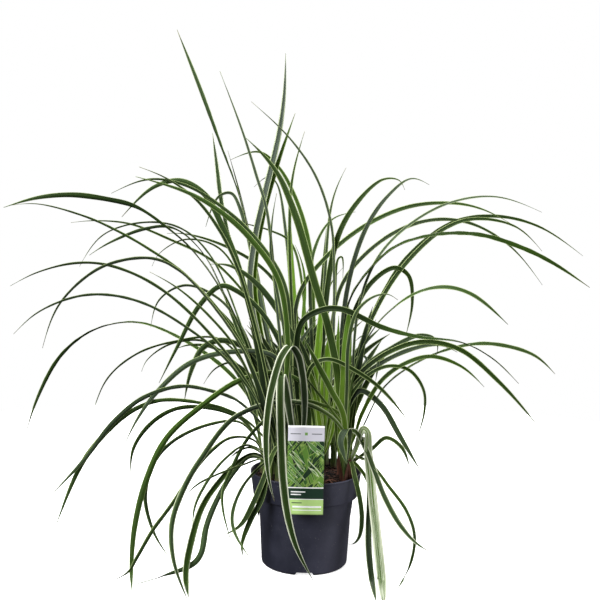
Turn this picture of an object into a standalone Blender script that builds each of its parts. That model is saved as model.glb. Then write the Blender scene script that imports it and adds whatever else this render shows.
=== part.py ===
"""A potted sedge with white-edged blades: a nursery pot, its soil, a folded plant label and 25 leafy shoots."""

import math

import bmesh
import bpy
import numpy as np

MM = 0.001
CM = 0.01

# The pot is a turned shape, and these pairs are radius and height in millimetres.
POT_OUTSIDE = [
    (0.0, 0.0),
    (12.0, 0.0),
    (12.6, 4.5),
    (43.0, 4.5),
    (44.2, 0.0),
    (51.4, 0.0),
    (54.0, 2.6),
    (57.2, 60.0),
    (59.6, 78.0),
    (60.6, 86.2),
    (65.7, 87.8),
    (69.3, 114.8),
    (70.0, 116.6),
    (69.2, 118.0),
]
POT_INSIDE = [
    (68.2, 117.4),
    (64.7, 90.0),
    (59.3, 88.2),
    (55.7, 60.0),
    (52.6, 9.0),
    (50.8, 6.3),
    (0.0, 6.3),
]
POT_SIDES = 36
NOTCH_WIDE = 24.0
NOTCH_NARROW = 16.5
NOTCH_HEIGHT = 4.4
NOTCH_INNER = 40.0
NOTCH_OUTER = 58.0
DRAIN_RADIUS = 3.6
DRAIN_RING = 27.0
DRAINS = 8

# Soil fills the pot up to a little under its lip.
GAP = 0.3
SOIL_EDGE = 110.0
SOIL_EDGE_RADIUS = 66.6
SOIL_RISE = 5.0
SOIL_BUMP = 0.9
SOIL_RINGS = 5
SOIL_SIDES = 30

# The label is a strip folded at its top: a card in front of the rim and a pointed tail behind it.
LABEL_X = -1.0
CARD_WIDTH = 43.0
CARD_FRONT = -76.0
CARD_BOTTOM = 83.0
LABEL_TOP = 189.0
LABEL_THICK = 0.8
TAIL_WIDTH = 15.0
TAIL_SHOULDER = 160.0
TAIL_POINT = 93.0
TAIL_TAPER = 103.0
TAIL_Y_TOP = -72.6
TAIL_Y_BOTTOM = -58.6

# A shoot's sheath is a short cone that stands in a hole of the soil.
SHEATH_SINK = 15.0
SHEATH = [(0.0, 4.3), (20.0, 4.0), (31.0, 2.6)]
SHEATH_SIDES = 6
ROOT_ASIDE = 1.6
ROOT_BELOW = 12.0

# A blade is drawn as it shows to an eye in front of the pot: each point is in centimetres, to the
# right and up, on the upright plane through the pot's axis. It is then carried along its line of
# sight to its own depth. Each shoot has a depth at the soil, which opens out away from the roots
# like the leaves of a book, so that no shoot's blades cross those of another.
EYE = (-11.6, -1150.0, 412.0)
SPREAD_HALF_WIDTH = 60.0
SPREAD_BASE = 140.0
SPREAD_NEAR = 12.0
SPREAD_FRONT = 4.0
SPREAD_BACK = 5.8
SPREAD_REACH = 150.0
DEPTH_STEP = 0.95
LEAST_STEP = 2.0
STEP_FADES = 70.0
KEEL = 1.2
LEAST_KEEL = 0.8
FLOOR_CLEAR = 0.7
LIE_FLAT_BELOW = 14.0
TWIST = 1.2
BEND_WEIGHT = 0.8
TWIST_WEIGHT = 0.5
SAMPLES = 160
SEGMENTS = 8
BLADES_A_SHOOT = 6
LIGHTER = [0.5, 0.54, 0.58, 0.62, 0.66, 0.7, 0.75, 0.8, 0.85, 0.9, 0.95, 1.0]
TOUCHING = (0.0000001, 0.000001)
LEAST_AREA = 0.0000000001
JUST_BEHIND = 0.00000001
TURNED_IN = 0.001


def blade(width, turn_root, turn_tip, *points):
    """A blade's width in millimetres, how far its face turns to the front in degrees, and its points."""
    return width, turn_root, turn_tip, points


# Each shoot has its place to the right and its depth at the soil in millimetres, then its blades. A point's
# third number, where it has one, is its own depth in millimetres.
SHOOTS = [
    (-34, -44, [
        blade(7, 70, 80, (-3.6, 14.6, -47), (-4.4, 13.2, -51), (-5.0, 11.3, -57), (-6.4, 7.7, -65),
              (-8.1, 4.5, -69), (-10.1, 3.2, -73)),
        blade(7, 75, 80, (-3.9, 14.2, -47), (-4.8, 11.8, -55), (-5.5, 7.9, -61), (-6.8, 5.3, -63),
              (-7.9, 2.0, -64), (-7.7, 0.3, -64)),
        blade(6, 75, 80, (-4.2, 13.6, -46), (-5.3, 10.5, -57), (-5.9, 8.0, -58), (-5.8, 5.4, -58)),
        blade(5, 60, 60, (-3.9, 13.2), (-5.2, 12.5), (-7.9, 9.5), (-9.2, 5.8), (-8.9, 3.6), (-7.0, 0.4)),
    ]),
    (-24, -38.2, [
        blade(5, 75, 60, (-2.8, 15.5, -44), (-2.6, 17.0, -51), (-1.9, 19.2, -66), (-1.3, 20.6, -74)),
        blade(5, 75, 70, (-3.6, 13.8), (-4.2, 15.8), (-5.0, 18.4)),
        blade(5, 60, 60, (-4.2, 19.0), (-6.5, 29.0), (-9.0, 37.0), (-11.3, 41.6), (-14.2, 45.3), (-17.8, 47.8),
              (-21.3, 49.2)),
        blade(6.5, 70, 88, (-3.0, 19.0), (-2.6, 28.0), (-4.0, 35.8), (-7.8, 41.0), (-11.2, 43.9), (-15.1, 46.1),
              (-21.7, 48.0)),
    ]),
    (-44, -34.4, [
        blade(5, 50, 60, (-5.2, 13.7), (-7.5, 14.7), (-10.3, 12.8), (-12.5, 9.8), (-13.9, 6.8), (-14.2, 4.2)),
        blade(4, 50, 60, (-5.3, 13.4), (-6.9, 14.4), (-8.4, 14.0), (-9.6, 13.0)),
        blade(4, 50, 60, (-5.4, 12.9), (-8.2, 12.1), (-11.8, 10.6), (-13.6, 9.6), (-15.2, 8.1)),
        blade(5.5, 45, 35, (-4.8, 18.0), (-8.0, 26.5), (-13.4, 33.9), (-16.5, 36.7), (-19.3, 37.9), (-23.0, 37.7),
              (-26.8, 36.2), (-31.1, 32.0), (-33.2, 26.5)),
        blade(5.5, 45, 35, (-5.4, 18.0), (-10.0, 25.2), (-15.5, 29.6), (-20.5, 32.3), (-25.0, 33.3), (-29.0, 33.0),
              (-33.7, 31.0), (-36.8, 28.2)),
    ]),
    (46, -28.2, [
        blade(8, 85, 70, (4.6, 18.6), (2.9, 22.0), (1.1, 25.3), (-0.6, 28.4)),
        blade(5, 60, 25, (4.9, 16.5), (3.0, 19.4), (0.9, 22.0), (-1.2, 24.3), (-3.2, 25.5)),
        blade(8, 60, 75, (4.9, 15.8), (3.3, 18.3), (0.1, 20.0), (-4.0, 20.2), (-9.2, 18.1), (-13.2, 12.9),
              (-15.4, 8.9), (-16.8, 4.5), (-16.6, 0.0), (-14.8, -5.2)),
        blade(5, 62, 75, (5.0, 15.5), (4.2, 18.8), (2.0, 20.0), (-0.8, 20.5), (-3.6, 19.2), (-7.0, 16.1),
              (-9.4, 11.6), (-10.5, 8.0), (-9.2, 2.1)),
        blade(9, 85, 85, (5.2, 15.2), (5.3, 16.7), (4.8, 16.8, -62), (4.3, 15.6, -68), (4.8, 13.5, -70),
              (5.2, 12.5, -71)),
        blade(5, 75, 70, (4.9, 22.0), (5.0, 28.0), (5.9, 31.8), (7.7, 33.6), (9.6, 34.1), (11.0, 33.4)),
    ]),
    (-12, -25, [
        blade(9, 80, 88, (-0.6, 15.0, -42), (-0.3, 20.0, -74), (-0.7, 24.0, -103), (-1.3, 26.3, -120),
              (-2.3, 27.3, -131), (-3.2, 26.3, -134), (-4.0, 24.0, -135), (-4.8, 20.0, -136),
              (-5.1, 15.0, -135), (-4.7, 10.8, -133), (-3.9, 7.6, -129)),
        blade(10, 85, 90, (-1.6, 15.0, -45), (-2.3, 19.5, -82), (-2.9, 22.6, -102), (-3.3, 23.7, -110),
              (-3.4, 22.0, -114), (-3.2, 16.0, -117), (-2.8, 10.0, -117), (-2.0, 5.0, -114), (-0.9, 1.5, -109),
              (1.2, -2.5, -99)),
        blade(4, 75, 60, (-2.5, 20.0), (-4.0, 32.0), (-5.5, 44.2), (-6.8, 48.3), (-8.5, 53.4), (-11.5, 61.0)),
        blade(4, 75, 75, (-1.8, 20.0), (-3.2, 30.0), (-4.9, 39.1), (-4.8, 42.9), (-4.3, 46.3)),
    ]),
    (-50, -21.2, [
        blade(9, 60, 85, (-5.3, 13.1), (-6.6, 13.7), (-8.7, 12.5), (-11.1, 9.8), (-13.0, 6.8), (-14.3, 2.5),
              (-15.0, -2.0), (-14.6, -5.0)),
        blade(8, 60, 88, (-5.6, 12.9), (-7.0, 13.2), (-9.2, 11.0), (-11.0, 7.9), (-12.4, 4.3), (-13.1, 0.6),
              (-14.2, -0.8), (-17.5, -2.2), (-21.5, -3.5)),
        blade(6, 60, 60, (-6.4, 15.2), (-9.5, 15.6), (-12.5, 13.3), (-14.9, 10.0), (-17.0, 6.7), (-19.2, 3.6),
              (-21.2, 0.0), (-22.4, -2.0), (-26.4, -3.7)),
        blade(6, 50, 30, (-5.4, 18.0), (-8.5, 24.0), (-15.1, 31.5), (-20.0, 35.1), (-25.0, 37.0), (-29.0, 37.2),
              (-33.7, 36.0), (-37.2, 34.2)),
        blade(4, 60, 60, (-5.4, 18.0), (-9.0, 26.8), (-12.3, 30.8), (-16.2, 34.2), (-19.9, 36.3)),
    ]),
    (53, -17.4, [
        blade(8, 70, 70, (5.1, 14.5), (5.1, 16.6), (6.0, 16.8), (7.4, 14.7), (8.6, 11.8), (10.0, 8.4), (11.9, 5.1),
              (13.9, 2.8), (15.7, 1.6)),
        blade(12, 85, 88, (6.2, 14.5), (7.1, 17.1), (7.6, 16.7), (7.8, 14.0), (8.5, 8.1), (9.1, 3.7), (9.8, -1.5),
              (10.3, -6.0)),
        blade(8, 80, 85, (6.0, 14.2), (7.2, 15.8), (7.9, 13.5), (8.1, 8.1), (8.1, 2.5), (8.6, -2.0), (9.3, -5.2)),
        blade(6, 80, 85, (5.4, 12.7, -26), (5.7, 12.8, -36), (6.2, 10.9, -47), (6.8, 8.6, -50), (7.2, 5.6, -50),
              (6.9, 3.2, -47), (6.2, 2.35, -45), (5.5, 2.3, -44)),
        blade(4, 60, 60, (5.2, 13.9), (6.0, 13.8), (7.3, 13.0)),
        blade(5, 60, 60, (6.0, 12.7), (6.8, 12.0), (7.5, 11.0), (7.9, 9.8)),
        blade(5, 60, 60, (6.5, 13.5), (8.4, 12.4), (10.4, 9.9), (12.8, 6.7), (13.9, 3.5), (13.5, 0.0),
              (12.0, -3.3)),
    ]),
    (4, -13.6, [
        blade(8, 60, 92, (1.0, 15.0), (0.7, 19.0), (-0.6, 22.6), (-3.5, 23.9), (-8.3, 23.0), (-13.1, 19.7),
              (-17.6, 15.4), (-20.1, 10.0), (-21.5, 4.1), (-21.9, -1.0), (-21.8, -4.5)),
        blade(8, 80, 80, (0.3, 16.0), (0.2, 21.0), (-0.8, 25.6), (-3.2, 30.7), (-6.7, 35.2), (-9.8, 37.2),
              (-12.3, 37.4)),
        blade(6, 60, 60, (-0.3, 16.0), (-0.4, 21.0), (0.6, 25.0), (2.6, 25.8), (6.5, 24.1), (9.3, 22.1),
              (12.8, 18.1)),
        blade(8, 105, -45, (-0.7, 17.0), (-1.5, 25.0), (-0.9, 30.3), (1.4, 31.9), (4.0, 32.1), (9.2, 29.9),
              (13.7, 28.8), (19.3, 28.2), (23.0, 26.3), (26.4, 23.2)),
    ]),
    (-40, -9.8, [
        blade(7, 45, 85, (-4.7, 16.0), (-8.6, 20.2), (-12.1, 21.5), (-15.9, 22.0), (-20.5, 20.5), (-24.2, 17.4),
              (-28.0, 12.4), (-32.1, 7.9)),
        blade(7.5, 45, 85, (-5.2, 15.5), (-8.8, 18.6), (-13.8, 20.0), (-18.8, 20.1), (-22.2, 18.6), (-25.8, 15.3),
              (-28.3, 11.8), (-31.5, 3.9)),
        blade(7, 75, 80, (-3.7, 17.0), (-3.2, 24.5), (-4.6, 26.2), (-9.6, 26.5), (-14.7, 25.0), (-18.9, 21.2),
              (-21.1, 18.1), (-22.8, 14.7)),
        blade(10, -25, 90, (-4.6, 18.0), (-7.0, 25.5), (-10.9, 34.1), (-14.8, 39.3), (-18.2, 42.1), (-21.7, 44.3),
              (-25.0, 45.1), (-29.5, 45.6), (-33.7, 45.2), (-38.0, 43.9)),
        blade(5, 50, 40, (-4.8, 18.0), (-8.6, 28.0), (-15.1, 35.7), (-20.0, 39.1), (-24.2, 41.4), (-28.0, 43.0),
              (-33.7, 44.4), (-37.0, 44.2)),
    ]),
    (44, -6, [
        blade(6, 60, 50, (5.8, 15.5), (6.9, 19.0), (9.2, 23.2), (12.0, 25.4), (15.3, 26.4), (19.0, 25.3),
              (22.1, 22.7)),
        blade(7, 60, 70, (3.7, 17.0), (3.9, 20.5), (6.4, 24.0), (10.0, 26.8), (14.1, 28.2), (18.8, 27.4),
              (24.1, 23.2), (29.0, 17.9)),
        blade(5, 60, 60, (4.4, 16.5), (5.2, 20.8), (7.4, 23.8), (10.1, 25.1), (12.7, 24.6), (14.5, 22.2),
              (14.7, 19.5), (13.8, 15.9)),
        blade(8, 60, 80, (4.7, 16.0), (5.2, 20.0), (6.6, 21.9), (9.2, 20.2), (11.8, 16.1), (14.3, 12.1)),
        blade(8, -40, 95, (5.1, 16.0), (5.6, 23.0), (7.4, 28.6), (9.6, 31.6), (13.5, 34.4), (17.0, 35.1),
              (20.3, 34.2), (24.8, 30.6)),
        blade(10, 85, 60, (4.0, 17.0), (3.8, 23.0), (2.5, 29.5), (0.5, 35.7), (-1.9, 43.5), (-4.5, 49.1),
              (-8.2, 53.0)),
    ]),
    (-22, -2.2, [
        blade(8, 60, 92, (-2.8, 17.0), (-4.6, 23.0), (-8.0, 27.0), (-11.0, 27.9), (-13.2, 26.9), (-14.6, 24.0),
              (-15.4, 20.2)),
        blade(7, 75, 70, (-2.6, 17.0), (-3.0, 26.0), (-5.9, 31.5), (-9.0, 34.1), (-11.0, 34.7), (-13.6, 32.3),
              (-16.4, 26.9), (-18.6, 22.4)),
        blade(4, 60, 50, (-3.0, 16.0), (-6.2, 22.5), (-9.4, 25.1), (-11.5, 24.4), (-13.0, 22.4)),
        blade(8, 75, 90, (-3.4, 18.0), (-6.3, 28.0), (-9.2, 38.1), (-11.1, 42.4), (-13.1, 45.9), (-16.1, 47.6),
              (-19.4, 46.8), (-23.4, 43.0)),
        blade(6, 60, 40, (-2.3, 17.0), (-2.2, 26.0), (-3.1, 35.0), (-6.8, 40.7), (-11.2, 44.6), (-15.7, 47.1),
              (-20.0, 47.7), (-24.7, 45.9)),
    ]),
    (54, 1.6, [
        blade(7.5, -15, 85, (6.3, 15.5), (7.4, 18.2), (9.7, 22.6), (14.7, 26.2), (20.3, 28.0), (24.0, 28.0),
              (28.2, 26.8), (30.9, 24.5)),
        blade(6, 50, 70, (6.6, 13.4), (8.3, 14.6), (10.0, 16.0), (11.9, 14.9), (13.0, 12.5)),
        blade(7, 60, 60, (5.4, 18.0), (7.0, 24.6), (10.8, 27.6), (13.7, 29.0), (15.5, 28.8), (16.1, 27.8),
              (16.0, 26.6)),
        blade(4, 60, 50, (5.6, 21.0), (6.1, 32.0), (8.1, 38.1), (11.4, 42.1), (16.7, 45.4), (22.6, 46.4),
              (28.5, 44.6)),
        blade(11, -15, 75, (4.9, 18.0), (4.3, 26.0), (4.9, 33.0), (7.3, 37.0), (10.7, 40.1), (15.9, 41.6),
              (21.1, 41.6), (26.3, 40.1), (30.0, 38.4), (34.8, 35.4)),
    ]),
    (-54, 5.4, [
        blade(7, 60, 60, (-6.2, 15.5), (-8.2, 18.0), (-12.7, 19.4), (-16.6, 19.1), (-19.6, 17.2), (-21.7, 14.1),
              (-22.1, 10.8)),
        blade(6, 60, 60, (-6.0, 15.0), (-8.4, 17.6), (-12.4, 17.2), (-16.8, 15.0), (-19.1, 12.3), (-20.2, 8.0),
              (-19.2, 3.6), (-17.4, 0.5)),
        blade(5, 45, 25, (-6.0, 17.0), (-8.0, 24.8), (-11.3, 28.1), (-16.9, 27.6), (-21.4, 26.0), (-25.0, 22.9),
              (-27.0, 18.0)),
        blade(4, 60, 50, (-6.0, 16.0), (-8.4, 23.0), (-12.5, 27.6), (-17.0, 27.4), (-20.0, 25.4), (-20.8, 23.8)),
        blade(6, 60, 60, (-6.0, 16.0), (-7.6, 22.4), (-11.0, 26.6), (-14.5, 27.3), (-16.6, 26.7)),
    ]),
    (20, 9.2, [
        blade(5, 50, 35, (2.4, 17.0), (3.0, 25.0), (3.0, 36.0), (2.5, 42.6), (0.6, 48.2), (-2.6, 52.8),
              (-7.6, 57.4)),
        blade(10, 85, 80, (1.2, 16.0), (0.9, 22.0), (1.3, 28.0), (1.5, 33.5)),
        blade(6, 80, 80, (3.3, 17.0), (3.6, 24.0), (3.7, 31.3)),
        blade(8, 85, 60, (1.9, 18.0), (1.8, 29.0), (3.2, 40.5), (5.4, 45.0), (8.7, 48.2), (10.7, 48.2),
              (11.5, 47.0)),
    ]),
    (-8, 13, [
        blade(9, 80, 85, (-2.2, 17.0), (-6.0, 27.5), (-7.4, 34.5), (-6.9, 40.6), (-5.8, 46.0), (-4.2, 53.2),
              (-3.6, 58.0), (-3.5, 63.3)),
        blade(8, 50, 95, (-1.9, 17.0), (-5.4, 27.0), (-6.8, 35.5), (-6.1, 42.6), (-4.5, 49.0), (-2.2, 56.1)),
        blade(5, 80, 70, (-1.0, 17.0), (-2.0, 30.0), (-2.6, 41.6), (-2.4, 48.0), (-1.0, 53.9)),
    ]),
    (46, 16.8, [
        blade(7, 60, 60, (5.0, 18.0), (6.4, 23.0), (11.0, 26.5), (16.1, 27.9), (18.6, 27.0)),
        blade(7, 70, 80, (4.5, 18.0), (5.1, 30.0), (7.6, 35.4), (10.5, 37.4), (12.2, 36.5), (12.8, 33.4),
              (12.1, 28.9)),
        blade(7, 70, 60, (4.1, 18.0), (4.6, 34.0), (6.7, 41.9), (9.4, 46.2), (12.2, 48.4), (14.5, 47.7)),
        blade(7, 60, 50, (4.2, 19.0), (6.0, 26.0), (8.6, 32.7), (11.6, 37.6), (16.3, 42.2), (20.1, 43.6),
              (25.2, 42.8), (28.7, 39.8)),
    ]),
    (-44, 20.6, [
        blade(8, -50, 95, (-5.2, 17.0), (-9.0, 23.0), (-14.6, 27.3), (-20.9, 29.9), (-25.0, 29.6), (-28.3, 28.0),
              (-31.2, 25.2), (-33.7, 20.5), (-35.2, 16.0)),
        blade(5, 60, 50, (-5.1, 18.0), (-7.6, 28.0), (-11.0, 32.9), (-15.4, 34.7), (-18.6, 32.9), (-19.7, 29.4)),
        blade(5, 40, 30, (-4.9, 18.0), (-7.8, 28.0), (-12.5, 38.6), (-16.2, 41.8), (-20.5, 42.4), (-25.6, 40.8),
              (-28.6, 36.8)),
    ]),
    (16, 24.4, [
        blade(7, 75, 60, (0.4, 17.0), (-1.7, 27.0), (-1.2, 34.0), (2.2, 38.8), (7.0, 42.7), (12.2, 45.0),
              (17.4, 45.5), (20.9, 44.9), (24.6, 43.2)),
        blade(10, 88, 80, (0.2, 17.0), (-1.4, 28.0), (-2.4, 38.0), (-2.7, 45.0)),
        blade(6, 75, 40, (0.8, 17.0), (-0.7, 28.0), (-0.7, 36.5), (-1.9, 40.0)),
        blade(6, 75, 50, (1.4, 18.0), (0.3, 30.0), (0.4, 39.0), (2.5, 43.1), (5.5, 44.2)),
    ]),
    (-20, 28.2, [
        blade(10, -60, 100, (-3.2, 20.0), (-6.4, 34.0), (-8.7, 45.3), (-11.4, 52.3), (-14.2, 59.6), (-16.8, 65.9)),
        blade(12, -40, 95, (-3.8, 20.0), (-8.3, 35.0), (-10.9, 43.9), (-11.8, 50.0), (-12.3, 53.5)),
        blade(7, 70, 60, (-3.4, 20.0), (-6.0, 33.0), (-8.6, 43.9), (-9.9, 46.2), (-11.4, 45.8), (-13.0, 42.0)),
        blade(4, 70, 60, (-3.2, 20.0), (-6.2, 35.0), (-8.6, 45.3), (-10.4, 51.4)),
    ]),
    (36, 32, [
        blade(7, 60, 40, (3.2, 18.0), (2.7, 26.0), (4.1, 35.3), (8.8, 40.7), (14.0, 43.2), (19.2, 43.2),
              (24.5, 40.5), (28.9, 35.6)),
        blade(7, 60, 50, (3.6, 19.0), (6.2, 26.5), (8.9, 33.6), (12.1, 38.8), (17.5, 43.1), (22.7, 44.0),
              (28.0, 42.9), (33.8, 39.3)),
    ]),
    (-40, 35.8, [
        blade(8, -55, 95, (-4.7, 18.0), (-8.8, 29.0), (-13.4, 38.9), (-17.2, 41.8), (-20.5, 41.6), (-24.9, 39.8),
              (-27.4, 38.2)),
        blade(4, 60, 50, (-4.2, 20.0), (-7.4, 33.0), (-11.3, 39.4), (-15.5, 40.4), (-18.6, 38.7), (-19.6, 37.0)),
    ]),
    (7, 39.6, [
        blade(7, 80, 76, (0.8, 18.0), (0.6, 30.0), (-0.2, 40.3), (-2.1, 46.1), (-4.2, 49.6), (-6.5, 51.3),
              (-10.0, 50.3)),
        blade(6, 80, 60, (-0.2, 18.0), (-1.8, 29.0), (-3.0, 41.0), (-4.3, 47.5), (-5.3, 48.3), (-7.1, 47.0)),
        blade(4.5, 75, 60, (0.3, 18.0), (-0.3, 30.0), (-2.4, 40.2), (-5.0, 41.7), (-10.2, 42.8)),
        blade(5.5, 62, 60, (1.2, 18.0), (1.8, 34.0), (2.6, 45.4), (4.2, 49.6)),
    ]),
    (-20, 43.4, [
        blade(5, 60, 60, (-2.6, 20.0), (-5.5, 30.0), (-11.5, 37.4), (-17.7, 40.5), (-22.4, 42.2), (-26.5, 42.5),
              (-29.7, 42.2)),
        blade(6, 60, 70, (-1.6, 20.0), (-2.0, 31.5), (-5.4, 36.6), (-9.9, 39.4), (-14.9, 41.0), (-17.8, 41.1)),
    ]),
    (26, 47.2, [
        blade(6, 78, 80, (2.6, 19.0), (3.1, 32.0), (3.5, 38.4), (3.9, 38.6), (4.1, 36.0)),
        blade(4.5, 72, 70, (2.1, 19.0), (1.4, 31.0), (1.9, 42.1)),
        blade(4.5, 68, 60, (2.2, 19.0), (2.0, 31.0), (2.6, 35.1), (4.1, 37.3)),
    ]),
    (-4, 51, []),
]

# The rest of each shoot's blades are shorter and fill its middle, by a rule with a fixed seed.
SEED = 13
FILL_LEAN = (3.0, 25.0)
FILL_LENGTH = (130.0, 205.0)
FILL_BEND = (6.0, 42.0)
FILL_WIDTH = (7.0, 9.5)
FILL_TOP = 325.0
FOREMOST = -36.0
FRONT = 5.0
MIDDLE = 20.0

# Broad brown scales wrap the foot of the shoots at the right.
SCALED_FROM_X = 42
SCALES = 3


def clear_scene():
    for obj in list(bpy.data.objects):
        bpy.data.objects.remove(obj, do_unlink=True)


def material(name, colour, roughness):
    made = bpy.data.materials.new(name)
    made.use_nodes = True
    shader = made.node_tree.nodes["Principled BSDF"]
    shader.inputs["Base Color"].default_value = (*colour, 1.0)
    shader.inputs["Roughness"].default_value = roughness
    shader.inputs["Metallic"].default_value = 0.0
    return made


def mesh_object(name, points, faces, look=None, collection=None):
    """An object of these points, in millimetres, with its faces turned outwards."""
    mesh = bpy.data.meshes.new(name)
    mesh.from_pydata([tuple(float(v) * MM for v in point) for point in points], [], faces)
    shape = bmesh.new()
    shape.from_mesh(mesh)
    bmesh.ops.recalc_face_normals(shape, faces=shape.faces)
    if shape.calc_volume(signed=True) < 0:
        bmesh.ops.reverse_faces(shape, faces=shape.faces)
    shape.to_mesh(mesh)
    shape.free()
    if look is not None:
        mesh.materials.append(look)
    obj = bpy.data.objects.new(name, mesh)
    (collection or bpy.context.scene.collection).objects.link(obj)
    return obj


def turned(profile, sides):
    """Points and faces of a closed profile of (radius, height) turned about the pot's axis."""
    points = []
    rows = []
    for radius, height in profile:
        if radius < 0.01:
            rows.append([len(points)] * sides)
            points.append((0.0, 0.0, height))
            continue
        rows.append([len(points) + side for side in range(sides)])
        for side in range(sides):
            angle = 2 * math.pi * side / sides
            points.append((radius * math.cos(angle), radius * math.sin(angle), height))
    faces = []
    for row, after in zip(rows, rows[1:]):
        for side in range(sides):
            other = (side + 1) % sides
            corners = [row[side], row[other], after[other], after[side]]
            faces.append(list(dict.fromkeys(corners)))
    return points, faces


def cut(obj, cutter):
    """Takes the cutter's shape out of the object and removes the cutter."""
    modifier = obj.modifiers.new("cut", "BOOLEAN")
    modifier.operation = "DIFFERENCE"
    modifier.solver = "MANIFOLD"
    modifier.object = cutter
    apply(obj, modifier)
    bpy.data.objects.remove(cutter, do_unlink=True)


def apply(obj, modifier):
    """Makes the modifier's result the object's own mesh."""
    bpy.context.view_layer.update()
    graph = bpy.context.evaluated_depsgraph_get()
    made = bpy.data.meshes.new_from_object(obj.evaluated_get(graph))
    obj.modifiers.remove(modifier)
    shape = bmesh.new()
    shape.from_mesh(made)
    bmesh.ops.triangulate(shape, faces=shape.faces)
    shape.to_mesh(made)
    shape.free()
    obj.data = made


def joined(pieces, name):
    """One object of several shapes that stay loose from each other, for use as a cutter."""
    points = []
    faces = []
    for piece_points, piece_faces in pieces:
        start = len(points)
        points += list(piece_points)
        faces += [[start + index for index in face] for face in piece_faces]
    return mesh_object(name, points, faces)


def prism(outline, bottom, top):
    """Points and faces of an upright prism: its outline is a list of (x, y)."""
    count = len(outline)
    points = [(x, y, bottom) for x, y in outline] + [(x, y, top) for x, y in outline]
    faces = [list(range(count)), list(range(count, 2 * count))]
    faces += [[i, (i + 1) % count, count + (i + 1) % count, count + i] for i in range(count)]
    return points, faces


def circle(x, y, radius, sides):
    turns = [2 * math.pi * (side + 0.5) / sides for side in range(sides)]
    return [(x + radius * math.cos(turn), y + radius * math.sin(turn)) for turn in turns]


def make_pot(look):
    points, faces = turned(POT_OUTSIDE + POT_INSIDE, POT_SIDES)
    pot = mesh_object("pot", points, faces, look)
    notches = []
    for quarter in range(4):
        turn = math.radians(90 * quarter - 90)
        along = (math.cos(turn), math.sin(turn))
        across = (-along[1], along[0])
        block = []
        for reach in (NOTCH_INNER, NOTCH_OUTER):
            for half, height in (
                (NOTCH_WIDE / 2 + 0.6, -0.8),
                (NOTCH_NARROW / 2, NOTCH_HEIGHT),
                (-NOTCH_NARROW / 2, NOTCH_HEIGHT),
                (-NOTCH_WIDE / 2 - 0.6, -0.8),
            ):
                block.append(
                    (along[0] * reach + across[0] * half, along[1] * reach + across[1] * half, height)
                )
        sides = [[i, (i + 1) % 4, 4 + (i + 1) % 4, 4 + i] for i in range(4)]
        notches.append((block, [[0, 1, 2, 3], [4, 5, 6, 7]] + sides))
    cut(pot, joined(notches, "notches"))
    drains = []
    for index in range(DRAINS):
        turn = 2 * math.pi * index / DRAINS
        outline = circle(DRAIN_RING * math.cos(turn), DRAIN_RING * math.sin(turn), DRAIN_RADIUS, 8)
        drains.append(prism(outline, 2.0, 9.0))
    cut(pot, joined(drains, "drains"))
    return pot


def soil_height(x, y):
    """The soil's surface: a low mound with soft lumps."""
    reach = min(1.0, math.hypot(x, y) / SOIL_EDGE_RADIUS)
    lumps = math.sin(0.21 * x + 1.3) * math.cos(0.17 * y - 0.6) + 0.6 * math.sin(0.37 * y + 0.29 * x)
    return SOIL_EDGE + SOIL_RISE * (1 - reach**2) + SOIL_BUMP * lumps * (1 - reach**4)


def make_soil(look):
    below = [(0.0, POT_INSIDE[-1][1] + GAP)]
    for radius, height in reversed(POT_INSIDE[2:-1]):
        below.append((radius - GAP, height + (GAP if height < 20 else 0.0)))
    below.append((POT_INSIDE[1][0] - GAP - 0.1, POT_INSIDE[1][1] + 0.4))
    surface = [(SOIL_EDGE_RADIUS * (1 - ring / SOIL_RINGS), None) for ring in range(SOIL_RINGS)]
    points, faces = turned(below + [(radius, 0.0) for radius, _ in surface] + [(0.0, 0.0)], SOIL_SIDES)
    first = 1 + (len(below) - 1) * SOIL_SIDES
    for index in range(first, len(points)):
        x, y, _ = points[index]
        points[index] = (x, y, soil_height(x, y))
    soil = mesh_object("soil", points, faces, look)
    holes = []
    for x, y, _ in SHOOTS:
        height = soil_height(x, y)
        outline = circle(x, y, SHEATH[0][1] + GAP + 0.15, SHEATH_SIDES)
        holes.append(prism(outline, height - SHEATH_SINK - GAP, height + 12.0))
    cut(soil, joined(holes, "holes"))
    slot = label_tail(CARD_WIDTH, LABEL_THICK + 2 * GAP, TAIL_WIDTH + 2 * GAP, TAIL_POINT - 3.0, 128.0, "slot")
    cut(soil, slot)
    return soil


def tail_y(z):
    """The depth of the label's tail at this height."""
    share = (z - TAIL_POINT) / (LABEL_TOP - TAIL_POINT)
    return TAIL_Y_BOTTOM + (TAIL_Y_TOP - TAIL_Y_BOTTOM) * share


def label_tail(wide, thick, narrow, point, top, name, look=None):
    """The tail's plate: its shoulders narrow from the card's width, and its end is pointed."""
    if top > TAIL_SHOULDER:
        outline = [(-wide / 2, top), (-wide / 2, TAIL_SHOULDER), (-narrow / 2, TAIL_SHOULDER - 14)]
        outline += [(-narrow / 2, TAIL_TAPER), (-1.5, point), (1.5, point), (narrow / 2, TAIL_TAPER)]
        outline += [(narrow / 2, TAIL_SHOULDER - 14), (wide / 2, TAIL_SHOULDER), (wide / 2, top)]
    else:
        outline = [(-narrow / 2, top), (-narrow / 2, point), (narrow / 2, point), (narrow / 2, top)]
    count = len(outline)
    points = [(LABEL_X + x, tail_y(z) - thick / 2, z) for x, z in outline]
    points += [(LABEL_X + x, tail_y(z) + thick / 2, z) for x, z in outline]
    faces = [list(range(count)), list(range(count, 2 * count))]
    faces += [[i, (i + 1) % count, count + (i + 1) % count, count + i] for i in range(count)]
    return mesh_object(name, points, faces, look)


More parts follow.
